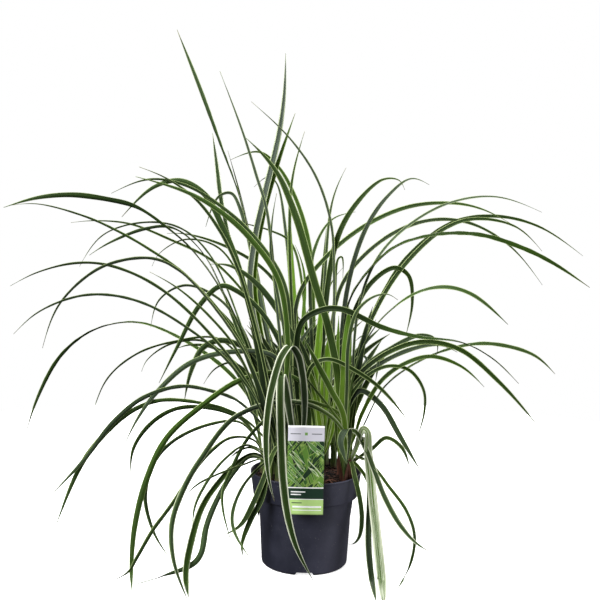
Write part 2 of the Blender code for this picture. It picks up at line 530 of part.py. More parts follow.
def make_label(look):
    """The card, the round fold at its top and the tail, joined in one piece."""
    inner = (tail_y(LABEL_TOP - 3) - CARD_FRONT - LABEL_THICK * 1.5) / 2
    middle_y = CARD_FRONT + LABEL_THICK + inner
    middle_z = LABEL_TOP - inner - LABEL_THICK
    steps = 6
    profile = [(CARD_FRONT, CARD_BOTTOM)]
    for step in range(steps + 1):
        turn = math.pi * (1 - step / steps)
        radius = inner + LABEL_THICK
        profile.append((middle_y + radius * math.cos(turn), middle_z + radius * math.sin(turn)))
    profile.append((middle_y + inner + LABEL_THICK, middle_z - 3.0))
    profile.append((middle_y + inner, middle_z - 3.0))
    for step in range(steps + 1):
        turn = math.pi * step / steps
        profile.append((middle_y + inner * math.cos(turn), middle_z + inner * math.sin(turn)))
    profile.append((CARD_FRONT + LABEL_THICK, CARD_BOTTOM))
    count = len(profile)
    points = [(LABEL_X + side * CARD_WIDTH / 2, y, z) for side in (-1, 1) for y, z in profile]
    faces = [list(range(count)), list(range(count, 2 * count))]
    faces += [[i, (i + 1) % count, count + (i + 1) % count, count + i] for i in range(count)]
    label = mesh_object("label", points, faces, look)
    tail = label_tail(CARD_WIDTH, LABEL_THICK, TAIL_WIDTH, TAIL_POINT, middle_z - 1.0, "tail")
    modifier = label.modifiers.new("join", "BOOLEAN")
    modifier.operation = "UNION"
    modifier.object = tail
    apply(label, modifier)
    bpy.data.objects.remove(tail, do_unlink=True)
    return label


def carried(depth, x, z):
    """The depth that a shoot's sheet has reached at a point of the front plane, from its depth at the soil."""
    rise = z - SPREAD_BASE
    if rise < 0:
        rise *= min(1.0, max(0.0, (abs(x) - 45) / 25))
    reach = math.hypot(max(abs(x) - SPREAD_HALF_WIDTH, 0.0), rise) - SPREAD_NEAR
    most = SPREAD_BACK if depth > 0 else SPREAD_FRONT
    return depth * (1 + most * (1 - math.exp(-max(reach, 0.0) / SPREAD_REACH)))


def on_floor(z):
    """The depth at which a line of sight through this height of the front plane meets the floor."""
    if z > EYE[2] - 20:
        return math.inf
    return -EYE[1] * ((EYE[2] - FLOOR_CLEAR) / (EYE[2] - z) - 1)


def in_space(x, y, z):
    """The point of the front plane, carried along its line of sight to the depth y."""
    share = 1 - y / EYE[1]
    return np.array((EYE[0] + (x - EYE[0]) * share, y, EYE[2] + (z - EYE[2]) * share))


def seen_from(point):
    """The opposite of in_space: where a point in space shows on the front plane."""
    share = 1 - point[1] / EYE[1]
    return EYE[0] + (point[0] - EYE[0]) / share, EYE[2] + (point[2] - EYE[2]) / share


def smooth_run(points):
    """A smooth curve through the points, read at even steps."""
    points = np.asarray(points, float)
    steps = np.linalg.norm(np.diff(points, axis=0), axis=1) ** 0.5
    knots = np.concatenate([[0.0], np.cumsum(steps)])
    slopes = np.empty_like(points)
    slopes[1:-1] = (
        (points[1:-1] - points[:-2]) / steps[:-1, None] * steps[1:, None]
        + (points[2:] - points[1:-1]) / steps[1:, None] * steps[:-1, None]
    ) / (steps[:-1] + steps[1:])[:, None]
    slopes[0] = 1.5 * (points[1] - points[0]) / steps[0] - 0.5 * slopes[1]
    slopes[-1] = 1.5 * (points[-1] - points[-2]) / steps[-1] - 0.5 * slopes[-2]
    at = np.linspace(0, knots[-1], SAMPLES)
    piece = np.clip(np.searchsorted(knots, at, side="right") - 1, 0, len(steps) - 1)
    length = steps[piece][:, None]
    t = ((at - knots[piece]) / steps[piece])[:, None]
    return (
        (2 * t**3 - 3 * t**2 + 1) * points[piece]
        + (t**3 - 2 * t**2 + t) * length * slopes[piece]
        + (3 * t**2 - 2 * t**3) * points[piece + 1]
        + (t**3 - t**2) * length * slopes[piece + 1]
    )


def centre_line(root, depth, offset, rows):
    """The blade's middle line in space, from its root in the sheath to its tip."""
    own_depth = any(len(row) == 3 for row in rows)
    root_x, root_z = seen_from(root)
    waypoints = [(root_x, root_z, root[1])]
    for row in rows:
        x, z = row[0] * 10, row[1] * 10
        waypoints.append((x, z, row[2] if len(row) == 3 else carried(depth, x, z)))
    line = []
    for x, z, y in smooth_run(waypoints):
        if not own_depth:
            y = carried(depth, x, z)
            fresh = LEAST_STEP * (1 - math.hypot(x - root_x, z - root_z) / STEP_FADES)
            y += offset * max(fresh, DEPTH_STEP * y / depth)
        line.append(in_space(x, min(y, on_floor(z)), z))
    return np.array(line)


def unit(vectors):
    """Each vector brought to a length of 1."""
    return vectors / np.maximum(np.linalg.norm(vectors, axis=-1, keepdims=True), 1e-9)


def square_to(vectors, ways):
    """The vectors with what runs along the way taken out."""
    return unit(vectors - (vectors * ways).sum(axis=-1, keepdims=True) * ways)


def width_share(along):
    """A blade's width along its length: narrow at the sheath, widest near its middle and drawn out to its tip."""
    rise = 0.42 + 0.58 * np.clip(along / 0.28, 0, 1) ** 0.9
    fall = 1 - np.clip((along - 0.62) / 0.38, 0, 1) ** 2.6
    return rise * fall


def across_along(line, turn_root, turn_tip, leans_forward):
    """The direction across the blade at each point of its line.

    It starts from the depth, or from the right for a blade that leans forward, and is turned towards the
    front. Near the floor it comes level, and nowhere does it turn faster than TWIST.
    """
    steps = np.linalg.norm(np.diff(line, axis=0), axis=1)
    along = np.concatenate([[0.0], np.cumsum(steps)]) / steps.sum()
    ways = unit(np.gradient(line, axis=0))
    turns = np.radians(turn_root + (turn_tip - turn_root) * along**2)[:, None]
    if leans_forward:
        right = square_to(np.tile((1.0, 0.0, 0.0), (len(line), 1)), ways)
        wanted = np.sin(turns) * right + np.cos(turns) * np.cross(ways, right)
    else:
        deep = square_to(np.tile((0.0, 1.0, 0.0), (len(line), 1)), ways)
        wanted = np.cos(turns) * deep + np.sin(turns) * np.cross(ways, deep)
    level = unit(np.cross((0.0, 0.0, 1.0), ways))
    level *= np.where((level * wanted).sum(axis=1) < 0, -1.0, 1.0)[:, None]
    high = np.clip((line[:, 2] - 1.0) / LIE_FLAT_BELOW, 0, 1)[:, None]
    wanted = square_to(high * wanted + (1 - high) * level, ways)
    across = [wanted[0]]
    for way, goal, step in zip(ways[1:], wanted[1:], steps):
        kept = square_to(across[-1], way)
        goal = goal * (-1.0 if goal @ kept < 0 else 1.0)
        angle = math.acos(min(1.0, goal @ kept))
        share = min(1.0, math.radians(TWIST) * step / max(angle, 1e-6))
        across.append(square_to(kept + (goal - kept) * share, way))
    return np.array(across)


def resampled(line, across, segments):
    """The line where length, bend and twist together have grown by even steps, with its share along and its sides."""
    steps = np.diff(line, axis=0)
    lengths = np.linalg.norm(steps, axis=1)
    ways = unit(steps)
    bends = np.concatenate([[0.0], np.arccos(np.clip((ways[1:] * ways[:-1]).sum(axis=1), -1, 1))])
    twists = np.arccos(np.clip((across[1:] * across[:-1]).sum(axis=1), -1, 1))
    growth = lengths / lengths.sum() + BEND_WEIGHT * bends / max(bends.sum(), 0.5)
    growth += TWIST_WEIGHT * twists / max(twists.sum(), 0.5)
    grown = np.concatenate([[0.0], np.cumsum(growth)])
    at = np.interp(np.linspace(0, grown[-1], segments + 1), grown, np.arange(len(grown)))
    both = np.concatenate([line, across], axis=1)
    both = np.stack([np.interp(at, np.arange(len(line)), column) for column in both.T], axis=1)
    along = np.interp(at, np.arange(len(line)), np.concatenate([[0.0], np.cumsum(lengths)]) / lengths.sum())
    ways = unit(np.gradient(both[:, :3], axis=0))
    across = square_to(both[:, 3:], ways)
    face = np.cross(ways, across)
    face *= -1.0 if face[:, 2].sum() < 0 else 1.0
    return both[:, :3], along, across, face


def strip(points, first):
    """The faces between a ring of three points and the next. Each side folds outwards, so none meets another."""
    middle = sum(points[first:first + 6]) / 6
    faces = []
    for side in range(3):
        corners = [first + side, first + (side + 1) % 3, first + 3 + (side + 1) % 3, first + 3 + side]
        p, q, r, t = (points[corner] for corner in corners)
        out = np.cross(r - p, t - q)
        out = out if out @ (p + q + r + t - 4 * middle) > 0 else -out
        if (p + r - q - t) @ out > 0:
            faces += [[corners[0], corners[1], corners[2]], [corners[0], corners[2], corners[3]]]
        else:
            faces += [[corners[1], corners[2], corners[3]], [corners[1], corners[3], corners[0]]]
    return faces


def blade_shape(line, across, width, segments):
    """Points and faces of a keeled blade with a flat upper face and a pointed tip."""
    line, along, across, face = resampled(line, across, segments)
    half = np.maximum(width * width_share(along) / 2, 0.45)[:, None]
    keel = np.clip(KEEL * width / 8, LEAST_KEEL, KEEL)
    rings = np.stack([line - across * half, line + across * half, line - face * keel], axis=1)
    low = rings[:, :, 2].min(axis=1)
    rings[:, :, 2] += np.maximum(FLOOR_CLEAR - low, 0)[:, None]
    points = list(rings[:-1].reshape(-1, 3)) + [rings[-1].mean(axis=0)]
    tip = len(points) - 1
    faces = [[0, 1, 2]]
    for ring in range(segments - 1):
        faces += strip(points, 3 * ring)
    a = 3 * (segments - 1)
    faces += [[a + side, a + (side + 1) % 3, tip] for side in range(3)]
    return points, faces


def fill_rows(random, x, depth, count):
    """Rows for the short blades that fill a shoot, leaning outwards at the front and to both sides further back."""
    rows = []
    for index in range(count):
        side = 1 if (index + (x > 0)) % 2 == 0 else -1
        if depth < FRONT:
            side = 1 if x > 0 else -1
        lean = math.radians(random.uniform(*FILL_LEAN)) * side
        bend = math.radians(random.uniform(*FILL_BEND)) * side
        length = random.uniform(*FILL_LENGTH)
        px, pz = x, 135.0
        points = []
        for step in range(1, 13):
            share = step / 12
            heading = lean * (0.35 + 0.65 * share) + bend * share**2.4
            px += math.sin(heading) * length / 12
            pz += math.cos(heading) * length / 12
            if step % 3 == 0:
                points.append((px / 10, min(pz, FILL_TOP) / 10))
        width = random.uniform(*FILL_WIDTH)
        rows.append(blade(width, random.uniform(55, 85), random.uniform(50, 85), *points))
    return rows


def make_shoot(number, x, depth, rows, look):
    """One shoot: its sheath, its scales and its blades, grown together in one body."""
    random = np.random.default_rng(SEED * 100 + number)
    ground = soil_height(x, depth)
    cone = []
    for rise, radius in [(-SHEATH_SINK, SHEATH[0][1] - 0.4)] + SHEATH:
        cone += [(px, py, ground + rise) for px, py in circle(x, depth, radius, SHEATH_SIDES)]
    n = SHEATH_SIDES
    top = len(cone) - n
    faces = [list(range(n)), list(range(top, top + n))]
    for level in range(0, top, n):
        faces += [[level + i, level + (i + 1) % n, level + n + (i + 1) % n, level + n + i] for i in range(n)]
    shoot = mesh_object(f"shoot_{number:02d}", cone, faces, look)
    parts = bpy.data.collections.new(f"blades_{number:02d}")
    bpy.context.scene.collection.children.link(parts)
    if depth > FRONT or (depth > FOREMOST and abs(x) > MIDDLE):
        rows = rows + fill_rows(random, x, depth, max(0, BLADES_A_SHOOT - len(rows)))
    for index, (width, turn_root, turn_tip, points) in enumerate(rows):
        offset = 2 * (index * 3 % len(rows)) / (len(rows) - 1) - 1
        first_x, first_z = points[0][0] * 10, points[0][1] * 10
        first = in_space(first_x, points[0][2] if len(points[0]) == 3 else carried(depth, first_x, first_z), first_z)
        aside = max(-ROOT_ASIDE, min(ROOT_ASIDE, 0.4 * (first[0] - x)))
        highest = SHEATH[-1][0] - 8.0 - 2.4 * (index % 6)
        rise = max(3.0, min(first[2] - ROOT_BELOW - ground, highest))
        line = centre_line((x + aside, depth + 1.6 * offset, ground + rise), depth, offset, points)
        longest = np.linalg.norm(np.diff(line, axis=0), axis=1).sum()
        segments = SEGMENTS + (1 if longest > 330 else 0) - (2 if longest < 170 else 0)
        across = across_along(line, turn_root, turn_tip, any(len(point) == 3 for point in points))
        shape = blade_shape(line, across, width, segments)
        mesh_object(f"blade_{number:02d}_{index:02d}", *shape, collection=parts)
    if x > SCALED_FROM_X:
        for index in range(SCALES):
            turn = 2 * math.pi * index / SCALES + 0.4 * number
            away = np.array((math.cos(turn), math.sin(turn), 0.0))
            foot = np.array((x, depth, ground - 4.0)) + away * 2.6
            line = np.array([foot + away * 0.9 * t * t + (0, 0, 34.0 * t) for t in np.linspace(0, 1, 20)])
            shape = scale_shape(line, away)
            mesh_object(f"scale_{number:02d}_{index:02d}", *shape, collection=parts)
    modifier = shoot.modifiers.new("grown together", "BOOLEAN")
    modifier.operation = "UNION"
    modifier.operand_type = "COLLECTION"
    modifier.collection = parts
    modifier.solver = "MANIFOLD"
    own = {rounded(vertex.co) for obj in [shoot, *parts.objects] for vertex in obj.data.vertices}
    apply(shoot, modifier)
    lighten(shoot, own)
    for obj in list(parts.objects):
        bpy.data.objects.remove(obj, do_unlink=True)
    bpy.data.collections.remove(parts)
    shoot.data.materials.clear()
    shoot.data.materials.append(look)
    return shoot


def rounded(point):
    return tuple(round(value * 100000) for value in point)


def lighten(obj, own):
    """Merges the small faces where blades cross. The blades' own points stay, and the body stays closed."""
    whole = obj.data
    group = obj.vertex_groups.new(name="crossings")
    group.add([vertex.index for vertex in whole.vertices if rounded(vertex.co) not in own], 1.0, "REPLACE")
    for ratio in LIGHTER:
        obj.data = whole.copy()
        modifier = obj.modifiers.new("lighter", "DECIMATE")
        modifier.ratio = ratio
        modifier.vertex_group = group.name
        apply(obj, modifier)
        keep_largest(obj)
        if is_closed(obj.data) and turned_in(obj.data) < TURNED_IN:
            break
    obj.vertex_groups.clear()


def turned_in(mesh):
    """The share of the surface whose back isn't inside the body, where a wall has gone through another."""
    points = np.array([vertex.co for vertex in mesh.vertices])
    corners = points[np.array([polygon.vertices for polygon in mesh.polygons])]
    normals = np.cross(corners[:, 1] - corners[:, 0], corners[:, 2] - corners[:, 0])
    areas = np.linalg.norm(normals, axis=1)
    probes = corners.mean(axis=1) - unit(normals) * JUST_BEHIND
    outside = 0.0
    for probe, area in zip(probes, areas):
        if area < LEAST_AREA:
            continue
        a, b, c = (corners[:, corner] - probe for corner in range(3))
        la, lb, lc = (np.linalg.norm(side, axis=1) for side in (a, b, c))
        solid = np.einsum("ij,ij->i", a, np.cross(b, c))
        share = la * lb * lc + (a * b).sum(axis=1) * lc + (b * c).sum(axis=1) * la + (c * a).sum(axis=1) * lb
        if np.arctan2(solid, share).sum() < 0.9 * 2 * math.pi:
            outside += area
    return outside / areas.sum()


def is_closed(mesh):
    """Whether every edge borders two faces, also with points that nearly touch taken as one."""
    points = np.array([vertex.co for vertex in mesh.vertices])
    faces = np.array([polygon.vertices for polygon in mesh.polygons])
    for touching in TOUCHING:
        _, same = np.unique(np.round(points / touching), axis=0, return_inverse=True)
        welded = same.reshape(-1)[faces]
        welded = welded[(welded != np.roll(welded, 1, axis=1)).all(axis=1)]
        edges = np.sort(np.concatenate([welded[:, [0, 1]], welded[:, [1, 2]], welded[:, [2, 0]]]), axis=1)
        if (np.unique(edges, axis=0, return_counts=True)[1] != 2).any():
            return False
    return True


def keep_largest(obj):
    """Removes the small pockets that close up between crossing blades."""
    shape = bmesh.new()
    shape.from_mesh(obj.data)
    left = set(shape.faces)
    bodies = []
    while left:
        start = left.pop()
        body = [start]
        for face in body:
            for edge in face.edges:
                for other in edge.link_faces:
                    if other in left:
                        left.remove(other)
                        body.append(other)
        bodies.append(body)
    bodies.sort(key=len)
    for body in bodies[:-1]:
        bmesh.ops.delete(shape, geom=body, context="FACES")
    shape.to_mesh(obj.data)
    shape.free()


def scale_shape(line, away):
    """Points and faces of a short pointed scale that lies against the sheath."""
    levels = line[[0, 7, 13]]
    across = np.array((-away[1], away[0], 0.0))
    points = []
    for level, half in zip(levels, (2.6, 3.0, 1.9)):
        points += [level - across * half, level + across * half, level + away * 1.3]
    points.append(line[-1])
    faces = [[0, 1, 2]]
    for a in (0, 3):
        for side in range(3):
            other = (side + 1) % 3
            faces.append([a + side, a + other, a + 3 + other])
            faces.append([a + side, a + 3 + other, a + 3 + side])
    faces += [[6 + side, 6 + (side + 1) % 3, 9] for side in range(3)]
    return points, faces


def main():
    clear_scene()
    plastic = material("pot plastic", (0.024, 0.026, 0.034), 0.55)
    mix = material("potting mix", (0.022, 0.014, 0.010), 0.95)
    card = material("label plastic", (0.30, 0.48, 0.16), 0.45)
    leaf = material("sedge blade", (0.10, 0.20, 0.045), 0.5)
    make_pot(plastic)
    make_soil(mix)
    make_label(card)
    for number, (x, depth, rows) in enumerate(SHOOTS, 1):
        make_shoot(number, x, depth, list(rows), leaf)
    for obj in bpy.context.scene.objects:
        if obj.name == "pot":
            obj.data.shade_smooth()
            obj.data.set_sharp_from_angle(angle=math.radians(35))


main()
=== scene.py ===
# %% [markdown]
# # A potted sedge with white-edged blades
#
# The model that this script loads is a set of plain solids: a nursery pot, its soil, a folded plant label
# and 25 leafy shoots. They have the right places and sizes, but few faces and no finish. Here each of them
# is replaced by a finer piece in the same place, and the small things are added that solids leave out:
# crumbs of bark and fibres on the soil, scales at the foot of the shoots, the print on the label.
# Everything is computed with numpy, as surfaces on a grid of two parameters. Lengths are in millimetres
# until a mesh is made, and materials and lights use metres.

# %% Load the solids
import math

import bpy
import mathutils
import numpy as np
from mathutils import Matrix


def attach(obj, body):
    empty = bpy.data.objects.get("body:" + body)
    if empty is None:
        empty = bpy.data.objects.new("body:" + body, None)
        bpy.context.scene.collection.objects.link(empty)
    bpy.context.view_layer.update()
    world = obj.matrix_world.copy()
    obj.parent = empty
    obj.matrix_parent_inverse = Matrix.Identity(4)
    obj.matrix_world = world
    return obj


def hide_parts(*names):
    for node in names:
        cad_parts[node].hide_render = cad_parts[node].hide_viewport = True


MM = 0.001
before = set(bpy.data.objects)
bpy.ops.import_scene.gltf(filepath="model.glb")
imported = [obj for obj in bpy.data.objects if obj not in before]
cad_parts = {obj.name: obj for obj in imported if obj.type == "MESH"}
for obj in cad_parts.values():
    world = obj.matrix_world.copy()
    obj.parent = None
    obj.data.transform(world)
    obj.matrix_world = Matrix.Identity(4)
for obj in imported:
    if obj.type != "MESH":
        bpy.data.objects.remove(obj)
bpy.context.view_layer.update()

# %% [markdown]
# ## From arrays to a mesh
#
# Nearly every new piece here is a tube of some kind: a grid of points, rings by columns, whose faces are
# the squares between neighbours, and whose last column meets the first. Such shapes could also be drawn as
# curves with a bevel, but the grid gives full control of each ring. One function turns the arrays into a
# Blender mesh, together with the numbers that a material reads later: they are stored at the points under a
# name, as attributes.


# %% Grids and pieces
def tube_squares(rows, columns):
    """Squares of a tube: a point, the next one on its ring, and the same two on the next ring."""
    row, column = np.meshgrid(np.arange(rows - 1), np.arange(columns), indexing="ij")
    here, after = row * columns, (column + 1) % columns
    corners = [here + column, here + after, here + columns + after, here + columns + column]
    return np.stack(corners, axis=-1).reshape(-1, 4)


def fan_faces(ring, tip):
    """Triangles from each pair of neighbours on a closed ring of indices to one tip."""
    return np.stack([ring, np.roll(ring, -1), np.full(len(ring), tip)], axis=1)


def tube_faces(rows, columns):
    """The tube's squares and, at both ends, a fan to an end point that is stored after the rings."""
    count = rows * columns
    first = fan_faces(np.arange(columns)[::-1], count)
    last = fan_faces(np.arange(count - columns, count), count + 1)
    return tube_squares(rows, columns), np.concatenate([first, last])


def with_ends(grid):
    """A grid of rings as a list of points, followed by the middle of its first ring and of its last."""
    return np.concatenate([grid.reshape(-1, 3), [grid[0].mean(axis=0), grid[-1].mean(axis=0)]])


def piece(name, nodes, points, faces, looks, attributes=(), finish_of=None):
    """A mesh object that rides on the body, fills a material slot and takes the place of solids."""
    mesh = bpy.data.meshes.new(name)
    corners = [face for group in faces for face in group.tolist()]
    mesh.from_pydata((points * MM).tolist(), [], corners)
    for key, values in dict(attributes).items():
        stored = mesh.attributes.new(key, "FLOAT", "POINT")
        stored.data.foreach_set("value", np.ravel(values).astype(np.float32))
    for look in looks:
        mesh.materials.append(look)
    if finish_of is not None:
        mesh.polygons.foreach_set("material_index", np.asarray(finish_of, np.int32))
    mesh.shade_smooth()
    made = bpy.data.objects.new(name, mesh)
    bpy.context.scene.collection.objects.link(made)
    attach(made, "root")
    if nodes:
        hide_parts(*nodes)
    return made


def unit(vectors):
    """Each vector divided by its length."""
    return vectors / np.maximum(np.linalg.norm(vectors, axis=-1, keepdims=True), 1e-9)


def square_to(vectors, ways):
    """The vectors less their share along the way, so that they stand square to it, at a length of 1."""
    return unit(vectors - (vectors * ways).sum(axis=-1, keepdims=True) * ways)


print("a 3 by 4 tube has", len(tube_squares(3, 4)), "squares")

# %% [markdown]
# ## Lumps without a texture
#
# Soil needs real lumps, because its edge shows against the pot. A Displace modifier with a cloud texture
# could make them, but other pieces have to stand on the same ground, so its height is worked out here.
# Value noise gives it: every corner of a lattice gets a number that looks random but depends on its place
# alone, and between corners the numbers are blended smoothly. It is quick and the same at every run.

# %% Value noise
LATTICE_I = 127.1
LATTICE_J = 311.7
LATTICE_GAIN = 43758.5453


def lattice_value(i, j):
    """A number from 0 to 1 for a lattice corner: the fraction of a large sine of both indices."""
    return np.modf(np.abs(np.sin(i * LATTICE_I + j * LATTICE_J) * LATTICE_GAIN))[0]


def value_noise(x, y):
    """Blends the four corners round a point with weights 3t² − 2t³ of its place between them."""
    i, j = np.floor(x), np.floor(y)
    s, t = x - i, y - j
    s, t = s * s * (3 - 2 * s), t * t * (3 - 2 * t)
    low = lattice_value(i, j) * (1 - s) + lattice_value(i + 1, j) * s
    high = lattice_value(i, j + 1) * (1 - s) + lattice_value(i + 1, j + 1) * s
    return low * (1 - t) + high * t


print("noise at (0.5, 0.5):", round(float(value_noise(np.array(0.5), np.array(0.5))), 3))

# %% [markdown]
# ## Shader maths as Python
#
# A material in Blender is a graph of nodes, and a formula with ten operations is ten nodes and many links.
# To write `1 - mask * stripes` as it reads, a small class wraps the socket that a number comes from, and
# each operator adds the Math node that does it. Colours are mixed with a Mix node, because a Math node
# turns a colour grey.


# %% Values
class Value:
    """A number that varies over the surface: the socket it comes from, and the finish it belongs to."""

    def __init__(self, finish, socket):
        self.finish = finish
        self.socket = socket

    def math(self, operation, *values):
        made = self.finish.node("ShaderNodeMath", {"operation": operation}, dict(enumerate(values)))
        return Value(self.finish, made.outputs[0])

    def __add__(self, other):
        return self.math("ADD", self, other)

    def __sub__(self, other):
        return self.math("SUBTRACT", self, other)

    def __mul__(self, other):
        return self.math("MULTIPLY", self, other)

    def __rsub__(self, other):
        return self.math("SUBTRACT", other, self)

    __radd__ = __add__
    __rmul__ = __mul__

    def abs(self):
        return self.math("ABSOLUTE", self)

    def least(self, other):
        return self.math("MINIMUM", self, other)

    def most(self, other):
        return self.math("MAXIMUM", self, other)

    def rise(self, low, high):
        """0 below low, 1 above high and a smooth step between them. With high under low it falls instead."""
        inputs = {"Value": self, "From Min": low, "From Max": high}
        made = self.finish.node("ShaderNodeMapRange", {"interpolation_type": "SMOOTHSTEP"}, inputs)
        return Value(self.finish, made.outputs["Result"])


print("methods of a value:", sorted(name for name in vars(Value) if name[0] != "_"))

# %% [markdown]
# The other class is a whole material. The nodes could be placed and linked by hand in the editor, but then
# each finish would be made anew. Here one method makes any node, and the methods after it name the few
# kinds that nearly every finish uses: an attribute, a place, noise, a blend of two colours and a bump.


# %% Finishes
class Finish:
    """A material with one Principled shader. What is the same all over is set on its own sockets."""

    def __init__(self, name, **constants):
        self.material = bpy.data.materials.new(name)
        self.material.use_nodes = True
        self.tree = self.material.node_tree
        self.shader = self.tree.nodes["Principled BSDF"]
        for key, value in constants.items():
            self.shader.inputs[key.replace("_", " ")].default_value = value

    def feed(self, socket, value):
        """Links a varying value to the socket, or sets a plain number, vector or colour on it."""
        if isinstance(value, Value):
            self.tree.links.new(value.socket, socket)
        elif isinstance(value, bpy.types.NodeSocket):
            self.tree.links.new(value, socket)
        elif isinstance(value, tuple) and len(value) == 3 and socket.type == "RGBA":
            socket.default_value = (*value, 1.0)
        else:
            socket.default_value = value

    def node(self, kind, settings, inputs):
        """Any node: its type, its settings, and the values or links of its sockets."""
        made = self.tree.nodes.new(kind)
        for key, value in settings.items():
            setattr(made, key, value)
        for key, value in inputs.items():
            found = [socket for socket in made.inputs if socket.identifier == key]
            self.feed(found[0] if found else made.inputs[key], value)
        return made

    def attribute(self, name):
        made = self.node("ShaderNodeAttribute", {"attribute_name": name}, {})
        return Value(self, made.outputs["Fac"])

    def place(self):
        return self.node("ShaderNodeTexCoord", {}, {}).outputs["Object"]

    def parts(self, vector):
        made = self.node("ShaderNodeSeparateXYZ", {}, {"Vector": vector})
        return [Value(self, socket) for socket in made.outputs]

    def vector(self, x, y, z):
        return self.node("ShaderNodeCombineXYZ", {}, {"X": x, "Y": y, "Z": z}).outputs["Vector"]

    def noise(self, vector, scale, detail=2.0, roughness=0.5, bend=0.0):
        inputs = {"Scale": scale, "Detail": detail, "Roughness": roughness, "Distortion": bend}
        made = self.node("ShaderNodeTexNoise", {}, {"Vector": vector, **inputs})
        return Value(self, made.outputs["Fac"])

    def blend(self, share, first, second):
        """The first colour where the share is 0, the second where it is 1."""
        inputs = {"Factor_Float": share, "A_Color": first, "B_Color": second}
        made = self.node("ShaderNodeMix", {"data_type": "RGBA"}, inputs)
        return next(socket for socket in made.outputs if socket.identifier == "Result_Color")

    def bump(self, height, strength, distance):
        inputs = {"Height": height, "Strength": strength, "Distance": distance}
        return self.node("ShaderNodeBump", {}, inputs).outputs["Normal"]

    def set(self, **sockets):
        for key, value in sockets.items():
            self.feed(self.shader.inputs[key.replace("_", " ")], value)
        return self.material


print("methods of a finish:", sorted(name for name in vars(Finish) if name[0] != "_"))

# %% [markdown]
# ## The camera
#
# The photograph is taken from in front, a little above the plant, and turned by about one degree. A long
# lens from 1.15 m away gives its frame. The place of this eye is used again further down, because the
# blades are drawn as they show from there.

# %% Camera
EYE = (-11.6, -1150.0, 412.0)
PITCH_DOWN = math.radians(4.0)
ROLL = math.radians(1.12)
LENS = 55.62
SENSOR_WIDTH = 36.0

lens = bpy.data.cameras.new("photograph view")
lens.lens = LENS
lens.sensor_width = SENSOR_WIDTH
camera = bpy.data.objects.new("photograph view", lens)
bpy.context.scene.collection.objects.link(camera)
camera.location = [value * MM for value in EYE]
level = mathutils.Euler((math.pi / 2 - PITCH_DOWN, 0.0, 0.0)).to_matrix()
camera.rotation_euler = (level @ mathutils.Matrix.Rotation(ROLL, 3, "Z")).to_euler()
bpy.context.scene.camera = camera
print("camera at", np.round(camera.location, 3).tolist())

# %% [markdown]
# ## Light, floor and backdrop
#
# A plant is photographed for a catalogue in soft light on white. Large area lights give soft edges to the
# shadows: one from above, one from the upper left for the sheen on the arching blades, a weak one from the
# right for the pot's side, and one behind for the blades that turn away. The floor and the world are nearly
# white, so that the outline of each blade stays clear. The world is bright only to the camera: as a light
# it would be too strong.

# %% Light
scene = bpy.context.scene
scene.view_settings.view_transform = "Standard"
WORLD_TO_EYE = 1.0
WORLD_AS_LIGHT = 0.13
FLOOR_RADIUS = 1.15
FLOOR_SIDES = 96


def around(count, radius):
    """Points at even angles round the upright axis: radius·(cos, sin, 0)."""
    angle = 2 * math.pi * np.arange(count) / count
    return np.stack([np.cos(angle), np.sin(angle), 0 * angle], axis=1) * radius


def area_light(name, place, aim, size, power):
    """A square light at a place in metres that looks at the aim."""
    lamp = bpy.data.lights.new(name, "AREA")
    lamp.size = size
    lamp.energy = power
    made = bpy.data.objects.new(name, lamp)
    scene.collection.objects.link(made)
    made.location = place
    way = mathutils.Vector(aim) - made.location
    made.rotation_euler = way.to_track_quat("-Z", "Y").to_euler()


area_light("light above", (-0.45, -0.3, 2.1), (0.0, 0.0, 0.3), 1.5, 54.0)
area_light("light upper left", (-1.4, -1.8, 1.25), (0.0, 0.0, 0.25), 1.0, 70.0)
area_light("light right", (1.7, -0.7, 0.4), (0.0, 0.0, 0.05), 0.8, 14.0)
area_light("light behind", (0.5, 1.9, 0.9), (0.0, 0.0, 0.25), 1.2, 26.0)

world = bpy.data.worlds.new("white room")
world.use_nodes = True
scene.world = world
air = world.node_tree
backdrop = air.nodes["Background"]
backdrop.inputs["Color"].default_value = (1.0, 1.0, 1.0, 1.0)
seen = air.nodes.new("ShaderNodeLightPath")
strength = air.nodes.new("ShaderNodeMapRange")
strength.inputs["To Min"].default_value = WORLD_AS_LIGHT
strength.inputs["To Max"].default_value = WORLD_TO_EYE
air.links.new(seen.outputs["Is Camera Ray"], strength.inputs["Value"])
air.links.new(strength.outputs["Result"], backdrop.inputs["Strength"])

pale_floor = Finish("pale floor", Roughness=0.9, Emission_Color=(1.0, 1.0, 1.0, 1.0), Emission_Strength=0.75)
floor_noise = pale_floor.noise(pale_floor.place(), 3.0)
pale_floor.set(Base_Color=pale_floor.blend(floor_noise, (0.86, 0.86, 0.87), (0.90, 0.90, 0.90)))
floor_mesh = bpy.data.meshes.new("floor")
floor_mesh.from_pydata(around(FLOOR_SIDES, FLOOR_RADIUS).tolist(), [], [list(range(FLOOR_SIDES))])
floor_mesh.materials.append(pale_floor.material)
floor = bpy.data.objects.new("floor", floor_mesh)
scene.collection.objects.link(floor)
floor.visible_diffuse = False
floor.visible_glossy = False
print("lights:", len(bpy.data.lights))

# %% [markdown]
# ## The pot
#
# A nursery pot is blown or moulded thin from dark plastic: a rolled collar at the top, a slightly tapering
# wall and a raised floor with drain holes, which stands on a foot ring with notches. It is a turned shape,
# so its outline is given as pairs of radius and height. A Screw modifier could turn it too, but the corners
# would stay sharp. Here each corner of the outline is rounded first, as a real mould always has it, and
# then the outline is turned.

